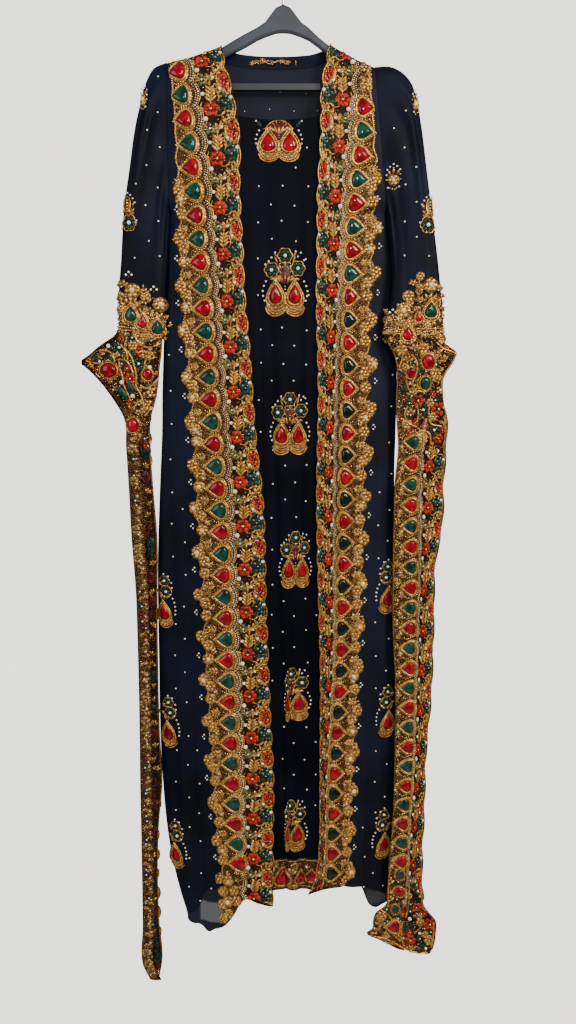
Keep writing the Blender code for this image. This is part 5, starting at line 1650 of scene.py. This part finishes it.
tailStrip = {"rail": rightTailRail, "way": -1.0, "keep": onTail("right"),
             "deep": lambda across, b: -tailDepth("right", across, b) - 0.3}
piece = "tailRightBeads"
pitch = rightTail["pitch"]
gems = np.arange(rightTail["firstGem"], rightTail["lastGem"], pitch)
gemRow(piece, tailStrip, gems, 1, size=0.84)
pearlChain(piece, tailStrip, gems, 730, 1610, waves=3.5)
vineAlong(piece, tailStrip, np.arange(811.0, 1540, 2 * pitch))
outer = outerSurface(tailStrip)
for offset, name in ((0.5, "scales"), (0.25, "spark"), (0.78, "twig")):
    some = gems + offset * pitch
    sew(piece, outer, ornaments[name], 15 + scattered(some, 2), some, turn=scattered(some, 40), size=0.9)
b = rng.uniform(735, 1660, 900)
sew(piece, outer, beads("gilt", "seed", ((0, 0),), 2.3), rng.uniform(11, 30, 900), b)
tailFace = {side: {**frontSurface(lambda a, b, side=side: tailDepth(side, a, b), 0.3), "keep": onTail(side)}
            for side in sides}
# ornaments on the tails' flared tops and the right one's foot: place across, level, turn and size
flareBeads = {
    "right": (
        ("rubyOval", 242, 637, 10, 1), ("emeraldOval", 238, 672, 0, 1.05), ("rubyOval", 214, 655, 10, 0.75),
        ("redReverse", 197, 667, 0, 0.9), ("greenReverse", 204, 683, 0, 0.9),
        ("coralFlower", 227, 701, 0, 1.2), ("coralFlower", 251, 690, 0, 0.7),
        ("leafFlower", 236, 716, 0, 1.25), ("coralFlower", 262, 715, 0, 1.35),
        ("coralFlower", 239, 743, 0, 0.8), ("leafFlower", 255, 750, 0, 1.25), ("coralFlower", 262, 764, 0, 1),
        ("wheat", 237, 779, 0, 1), ("onePearl", 250, 599, 0, 0.9),
        ("onePearl", 227, 601, 0, 0.8), ("scales", 262, 626, 70, 1.5), ("scales", 270, 635, 30, 1.4),
        ("goldRosette", 255, 656, 0, 0.95), ("scales", 260, 671, 0, 1.4), ("spark", 264, 683, 0, 1.4),
        ("scales", 219, 618, 0, 1.5), ("goldRosette", 233, 615, 0, 1), ("scales", 207, 637, 0, 1.5),
        ("goldRosette", 247, 705, 0, 0.8), ("scales", 216, 693, 0, 1.4), ("scales", 215, 725, 20, 1.5),
        ("goldRosette", 209, 741, 0, 0.9), ("leafPair", 277, 623, 75, 0.6), ("goldRosette", 197, 618, 0, 1),
        ("scales", 197, 650, 0, 1.4), ("leafFlower", 256, 700, 0, 0.8), ("goldRosette", 223, 681, 0, 0.8),
        ("spark", 230, 758, 0, 1.4), ("goldRosette", 253, 728, 0, 0.8), ("emeraldOval", 210, 1550, 0, 0.9),
        ("rubyOval", 209, 1583, 80, 0.85), ("emeraldOval", 203, 1617, 0, 0.8),
        ("rubyGem", 199, 1650, 180, 0.86), ("leafPair", 226, 1648, 20, 0.9), ("onePearl", 229, 1632, 0, 0.85),
        ("coralFlower", 231, 1674, 0, 1.2), ("coralFlower", 266, 1645, 0, 1.35),
        ("leafPair", 249, 1691, 60, 0.9), ("goldRosette", 265, 1677, 0, 1), ("goldRosette", 178, 1630, 0, 1),
        ("coralFlower", 242, 1547, 0, 1), ("coralFlower", 241, 1612, 0, 1.05),
        ("leafFlower", 243, 1580, 0, 1),
        ("scales", 176, 1648, 0, 1.5), ("scales", 168, 1662, 40, 1.4), ("goldRosette", 186, 1668, 0, 0.8),
        ("scales", 212, 1676, 0, 1.4), ("onePearl", 259, 1691, 0, 0.7), ("onePearl", 247, 1660, 0, 0.7),
        ("scales", 244, 1632, 0, 1.4), ("scales", 192, 1600, 0, 1.3), ("scales", 192, 1567, 0, 1.3),
        ("scales", 232, 1694, 0, 1.3), ("goldRosette", 248, 1640, 0, 0.8),
    ),
    "left": (
        ("leafPair", -316, 625, 62, 0.85), ("rubyOval", -295, 650, 80, 1.15), ("onePearl", -294, 610, 0, 0.9),
        ("leafFlower", -276, 612, 0, 1.4), ("coralFlower", -274, 598, 0, 0.75),
        ("onePearl", -310, 635, 0, 0.55), ("coralFlower", -259, 664, 0, 1.25), ("onePearl", -273, 670, 0, 1),
        ("onePearl", -255, 693, 0, 1), ("leafPair", -267, 683, 25, 1.4), ("ruby", -279, 701, -25, 1.15),
        ("leafFlower", -244, 639, 0, 1.3), ("rubyOval", -230, 657, 0, 0.8), ("onePearl", -226, 645, 0, 0.95),
        ("coralFlower", -241, 619, 0, 1), ("wheat", -213, 629, 75, 1.2),
        ("goldRosette", -223, 687, 0, 1), ("goldRosette", -229, 708, 0, 0.9), ("scales", -217, 699, 0, 1.4),
        ("scales", -236, 720, 20, 1.4), ("scales", -302, 623, 40, 1.5), ("scales", -284, 629, 0, 1.4),
        ("goldRosette", -253, 609, 0, 0.9), ("leafFlower", -254, 596, 0, 1), ("scales", -222, 601, 0, 1.5),
        ("scales", -209, 612, 0, 1.4), ("goldRosette", -233, 594, 0, 0.8), ("scales", -290, 669, 60, 1.3),
        ("onePearl", -289, 683, 0, 0.6), ("scales", -281, 683, 30, 1.2), ("scales", -245, 708, 0, 1.4),
        ("scales", -265, 718, 0, 1.4), ("scales", -247, 724, 0, 1.3), ("scales", -258, 720, 20, 1.2),
        ("coralFlower", -232, 777, 0, 0.9), ("leafFlower", -237, 765, 0, 0.8),
        ("goldRosette", -251, 763, 0, 0.9), ("goldRosette", -214, 675, 0, 0.8), ("scales", -213, 659, 0, 1.2),
    ),
}
fillers = ("scales", "spark", "coralFlower", "leafFlower", "coralFlower", "loops", "goldRosette", "leafPair",
           "leafFlower")
fillBoxes = {"left": ((-345, -205, 594, 765),), "right": ((165, 292, 600, 765), (155, 282, 1535, 1702))}
for side in sides:
    for name, across, down, turn, size in flareBeads[side]:
        sew("tail" + ending[side] + "Beads", tailFace[side], ornaments[name], across, down,
            turn=turn, size=size)
for side in sides:
    for box in fillBoxes[side]:
        fillIn("tail" + ending[side] + "Beads", tailFace[side], box, 1400, fillers, 11.5, flareBeads[side])
# couched cords that loop between them
loopPaths = {
    "left": (
        ((-263, 582), (-263, 598), (-267, 611), (-257, 626), (-252, 640), (-248, 661), (-249, 677),
         (-242, 690), (-237, 708), (-241, 728)),
        ((-281, 632), (-267, 633), (-258, 643), (-254, 654)),
        ((-277, 636), (-275, 649), (-271, 664), (-270, 675)),
        ((-290, 687), (-280, 708), (-268, 714), (-255, 713), (-245, 702)),
        ((-267, 718), (-266, 727), (-262, 735)), ((-334, 634), (-317, 638), (-304, 638)),
        ((-331, 633), (-312, 617), (-290, 621), (-284, 635)), ((-274, 607), (-264, 621), (-262, 638)),
        ((-217, 619), (-232, 633), (-235, 647)), ((-242, 675), (-233, 680), (-223, 675), (-213, 663)),
        ((-236, 727), (-229, 718), (-219, 708), (-214, 689)),
        ((-318, 654), (-306, 667), (-296, 680), (-288, 696), (-276, 713)),
        ((-250, 586), (-245, 602), (-227, 612), (-208, 605)),
        ((-266, 756), (-261, 765), (-263, 777), (-259, 789)),
    ),
    "right": (
        ((254, 605), (266, 615), (286, 624), (277, 645), (267, 661), (265, 678)),
        ((213, 624), (223, 638), (223, 656), (217, 672), (224, 689)),
        ((210, 710), (205, 725), (212, 739), (225, 745)), ((224, 705), (228, 725), (226, 737)),
        ((254, 645), (256, 657), (250, 668)), ((266, 615), (255, 626), (251, 618)),
        ((194, 604), (199, 626), (194, 650)), ((201, 639), (209, 645), (206, 667), (211, 683)),
        ((227, 626), (233, 623), (252, 626)), ((226, 664), (226, 683), (241, 685), (248, 678)),
        ((248, 703), (245, 722), (249, 739), (268, 744)), ((229, 750), (246, 755), (250, 775)),
        ((172, 1632), (180, 1640), (188, 1656)),
        ((160, 1668), (184, 1672), (206, 1684), (232, 1696), (262, 1700)),
        ((272, 1640), (273, 1664), (269, 1690)), ((250, 1626), (246, 1652), (238, 1660)),
        ((216, 1640), (214, 1660), (218, 1684)), ((224, 1530), (227, 1570), (226, 1610), (222, 1630)),
        ((192, 1540), (190, 1580), (190, 1612)), ((176, 1618), (190, 1626), (196, 1634)),
    ),
}
# left and right ends of the seed beads sewn over the flares and over the feet, and the foot's top
seedReach = {"left": ((-340, -205), (-256, -226), 1745), "right": ((158, 290), (158, 278), 1600)}
for side in sides:
    piece, face = "tail" + ending[side] + "Beads", tailFace[side]
    flare, foot, footTop = seedReach[side]
    for path in loopPaths[side]:
        sewCord(piece, face, *stem(path, 26).T, 2.1)
    for finish, count in (("gilt", 520), ("coral", 160), ("leaf", 160), ("silver", 160)):
        across = rng.uniform(*flare, count)
        sew(piece, face, beads(finish, "seed", ((0, 0),), 2.5), across, rng.uniform(600, 765, count))
    down = rng.uniform(footTop, tail["end"][side], 240)
    sew(piece, face, beads("gilt", "seed", ((0, 0),), 2.4), rng.uniform(*foot, 240), down)


# the left tail's front leaf: rosettes, pearls and small flowers down its whole length

def leftEdge(level):
    return read(tail["left"], "outer", level)


piece = "tailLeftBeads"
leaf = {**frontSurface(leafDepth, 0.4),
        "keep": lambda across, down: (down > 655) & (down < tail["end"]["left"] - 4)
        & (across > leftEdge(down)) & (across < leftEdge(down) + leafWidth(down))}
down = np.arange(768.0, 1755, 17.0) + rng.uniform(-3, 3, 59)
edge = leftEdge(down)
pick = rng.random(len(down))
for name, low, high in (("goldRosette", 0, 0.3), ("scales", 0.3, 0.6), ("coralFlower", 0.6, 0.74),
                        ("leafFlower", 0.74, 0.88), ("loops", 0.88, 1)):
    some = (pick >= low) & (pick < high)
    sew(piece, leaf, dulled(ornaments[name]), edge[some] + 9 + scattered(edge[some], 2), down[some],
        size=0.85, turn=scattered(edge[some], 60))
sew(piece, leaf, beads("pearl", "bead", ((0, 0),), 3.2), edge[::3] + 11 + scattered(edge[::3], 4),
    down[::3] + 8)
for name, start in (("scales", 746.0), ("spark", 757.0), ("loops", 762.0)):
    some = np.arange(start, 1750, 21.0)
    sew(piece, leaf, dulled(ornaments[name]), leftEdge(some) + 14.5 + scattered(some, 1.5), some, size=0.75)
b = rng.uniform(660, 1755, 1000)
for finish, some in (("couched", b[::2]), ("antique", b[1::3]), ("gilt", b[3::6])):
    across = leftEdge(some) + rng.uniform(2, 19, len(some))
    sew(piece, leaf, beads(finish, "seed", ((0, 0),), 2.4), across, some)
sew(piece, frontSurface(leafDepth, 0.4), ornaments["rubyOval"], -253.5, 742, size=0.95)
# its rear leaf shows the dull reverse of the flowers and stones, darkened further by painted shade as it lies
# behind the front leaf
some = np.arange(768.0, 1745, 22.0) + rng.uniform(-6, 6, 45)
pick = rng.integers(0, 3, 45)
for number, name in enumerate(("redReverse", "greenReverse", "scales")):
    chosen = some[pick == number]
    edge = read(tail["left"], "inner", chosen)
    sew(piece, tailFace["left"], dulled(ornaments[name]), edge - 9.5 + scattered(chosen, 3), chosen,
        turn=scattered(chosen, 50), size=1.15)
for finish, count in (("dullRed", 120), ("dullGreen", 120), ("couched", 160)):
    b = rng.uniform(768, 1745, count)
    sew(piece, tailFace["left"], beads(finish, "seed", ((0, 0),), 3.4),
        read(tail["left"], "inner", b) - rng.uniform(2, 17, count), b)
# behind, both tails carry gems, flowers and a row of beads, and a cord runs along both long edges
for side, across in (("left", -240.0), ("right", 226.0)):
    piece = "tail" + ending[side] + "Beads"
    rear = {"place": lambda a, b: at(a, -tailDepth(side, a, b) + 0.5, b), "side": -1.0, "keep": onTail(side)}
    some = np.arange(690.0, 1680, 37.8)
    for number, name in enumerate(("rubyGem", "emeraldGem")):
        sew(piece, rear, ornaments[name], across, some[number::2],
            turn=180 if side == "left" else 0, size=0.72)
    sew(piece, rear, beads("silver", "bead", ((0, 0),), 3.2), across - 14 * sign[side],
        np.arange(660.0, 1690, 5.0))
    for number, name in enumerate(("coralFlower", "leafFlower")):
        sew(piece, rear, ornaments[name], across - 23 * sign[side], some[number::2] + 18, size=0.6)
    fine = np.arange(tail["start"][side] + 4, tail["end"][side] - 6, 3.4)
    for name, inwards, finish in (("outer", -sign[side], "antique"), ("inner", sign[side], "couched")):
        sewCord(piece, tailFace[side], read(tail[side], name, fine) + inwards * 1.6, fine, 1.2, finish)
    finishSewing(piece)


# hem band inside the opening, and gold beads at the back of the neck

grid = centreGrid(np.linspace(0.02, 0.98, 44), np.linspace(1524, centre["hem"] - 0.5, 24), lift=1.2)
uvs = np.stack([grid[..., 0], grid[..., 2]], axis=-1) / 10 + (6, 0)
makeCloth("innerHemBandCloth", grid, ground, "inner_hem_band", flip=True, uvs=uvs)
piece = "hemBandBeads"
hemFace = frontSurface(centreDepth, 1.3)
for name, across, down, turn, size in (
        ("ruby", -2, 1556, 0, 1.9), ("ruby", 31, 1558, 0, 1.35), ("ruby", 51, 1555, 0, 1.3),
        ("scales", 14, 1552, 0, 1.6),
        ("scales", 16, 1570, 180, 1.5), ("scales", -20, 1550, 40, 1.5), ("goldRosette", 20, 1538, 0, 0.8),
        ("goldRosette", -16, 1534, 0, 0.8), ("spark", 42, 1540, 0, 1.0)):
    sew(piece, hemFace, dulled(ornaments[name]), across, down, turn=turn, size=size)
for down in (1527.0, 1577.0):
    sewCord(piece, hemFace, np.linspace(-22, 62, 50), np.full(50, down), 1.2, "antique")
for finish, count in (("couched", 160), ("dullRed", 200), ("gilt", 60)):
    across = rng.uniform(-24, 64, count)
    sew(piece, hemFace, beads(finish, "seed", ((0, 0),), 2.8), across, rng.uniform(1528, 1576, count))
finishSewing(piece)

piece = "neckTrimBeads"
neckFace = {"place": lambda a, b: at(a, backDepth(a, b) - 2.4, b), "side": 1.0}
across = np.linspace(-52, 8, 21)
sew(piece, neckFace, beads("gilt", "bead", ((0, 0),), 2.6), across, 147 + 2.2 * np.sin(across / 4.6))
for across, down, turn in ((-50, 150, 30), (-34, 146, -20), (-18, 150, 15), (-4, 148, -10), (8, 150, 20)):
    sew(piece, neckFace, ornaments["scales"], across, down, turn=turn, size=0.8)
for across, down, turn in ((-42, 148, 60), (-27, 146, -60), (21, 149, 0)):
    sew(piece, neckFace, blades("gold", "grain", ((0, -3, 0),), 2.6, 8, 1.6), across, down, turn=turn)
scroll = stem(((-55, 148), (-44, 144), (-34, 148), (-24, 144), (-12, 147), (-2, 144), (9, 146)), 40)
sewCord(piece, neckFace, *scroll.T, 0.8)
finishSewing(piece)


# hanger, floor, light and camera

for node, finish in (("hanger_board", plastic), ("hanger_bar", barPlastic), ("hanger_hook", steel)):
    solid = bpy.data.objects[node]
    for number in range(len(solid.data.materials)):
        solid.data.materials[number] = finish


def link(name, data):
    made = bpy.data.objects.new(name, data)
    bpy.context.scene.collection.objects.link(made)
    return made


def makeFloor():
    # a pale floor 3.2 m wide, 2.2 m below the hook's seat
    mesh = bpy.data.meshes.new("floor")
    corners = [(-1.6, -2.2, -2.2), (1.6, -2.2, -2.2), (1.6, 0.3, -2.2), (-1.6, 0.3, -2.2)]
    mesh.from_pydata(corners, [], [(0, 1, 2, 3)])
    mesh.materials.append(floorPaint)
    link("floor", mesh)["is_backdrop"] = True


def makeWorld(seen, strength, ambient):
    # pale surroundings: bright where the camera sees them, softer as a light
    world = bpy.data.worlds.new("paleRoom")
    world.use_nodes = True
    tree = world.node_tree
    background = tree.nodes["Background"]
    background.inputs["Color"].default_value = colour(seen)
    path = addNode(tree, "ShaderNodeLightPath")
    level = addNode(tree, "ShaderNodeMapRange", {3: ambient, 4: strength},
                    {"Value": path.outputs["Is Camera Ray"]})
    tree.links.new(level.outputs["Result"], background.inputs["Strength"])
    bpy.context.scene.world = world


def makeArea(name, place, towards, size, power, code="#ffffff"):
    # soft rectangular light turned to look at a place
    light = bpy.data.lights.new(name, "AREA")
    light.shape = "RECTANGLE"
    light.size, light.size_y = size
    light.energy = power
    light.color = colour(code)[:3]
    lamp = link(name, light)
    lamp.location = place
    way = mathutils.Vector(towards) - mathutils.Vector(place)
    lamp.rotation_euler = way.to_track_quat("-Z", "Y").to_euler()


makeFloor()
makeWorld("#e4e2de", 2.9, 0.42)
makeArea("windowRight", (1.4, -1.8, 0.5), (0, 0, -0.7), (0.7, 1.0), 62, "#fff6ea")
makeArea("roomLeft", (-1.6, -1.6, -0.2), (0, 0, -0.8), (1.2, 1.4), 22, "#eef3ff")
makeArea("sparkle", (0.25, -1.6, 0.1), (0, 0, -0.8), (0.12, 0.12), 9)

# the photo's view: 1.475 m in front of the hook's seat, looking 7 degrees down
camera = bpy.data.cameras.new("camera")
camera.lens = 29.88
camera.sensor_width = 36
viewer = link("camera", camera)
viewer.location = (0.008, -1.475, -0.7125)
viewer.rotation_euler = (math.radians(83), 0, 0)
bpy.context.scene.camera = viewer
print("stage made")

size = {"before": [[float(v) for v in corner] for corner in cadBox],
        "after": [[float(v) for v in corner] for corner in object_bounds()]}
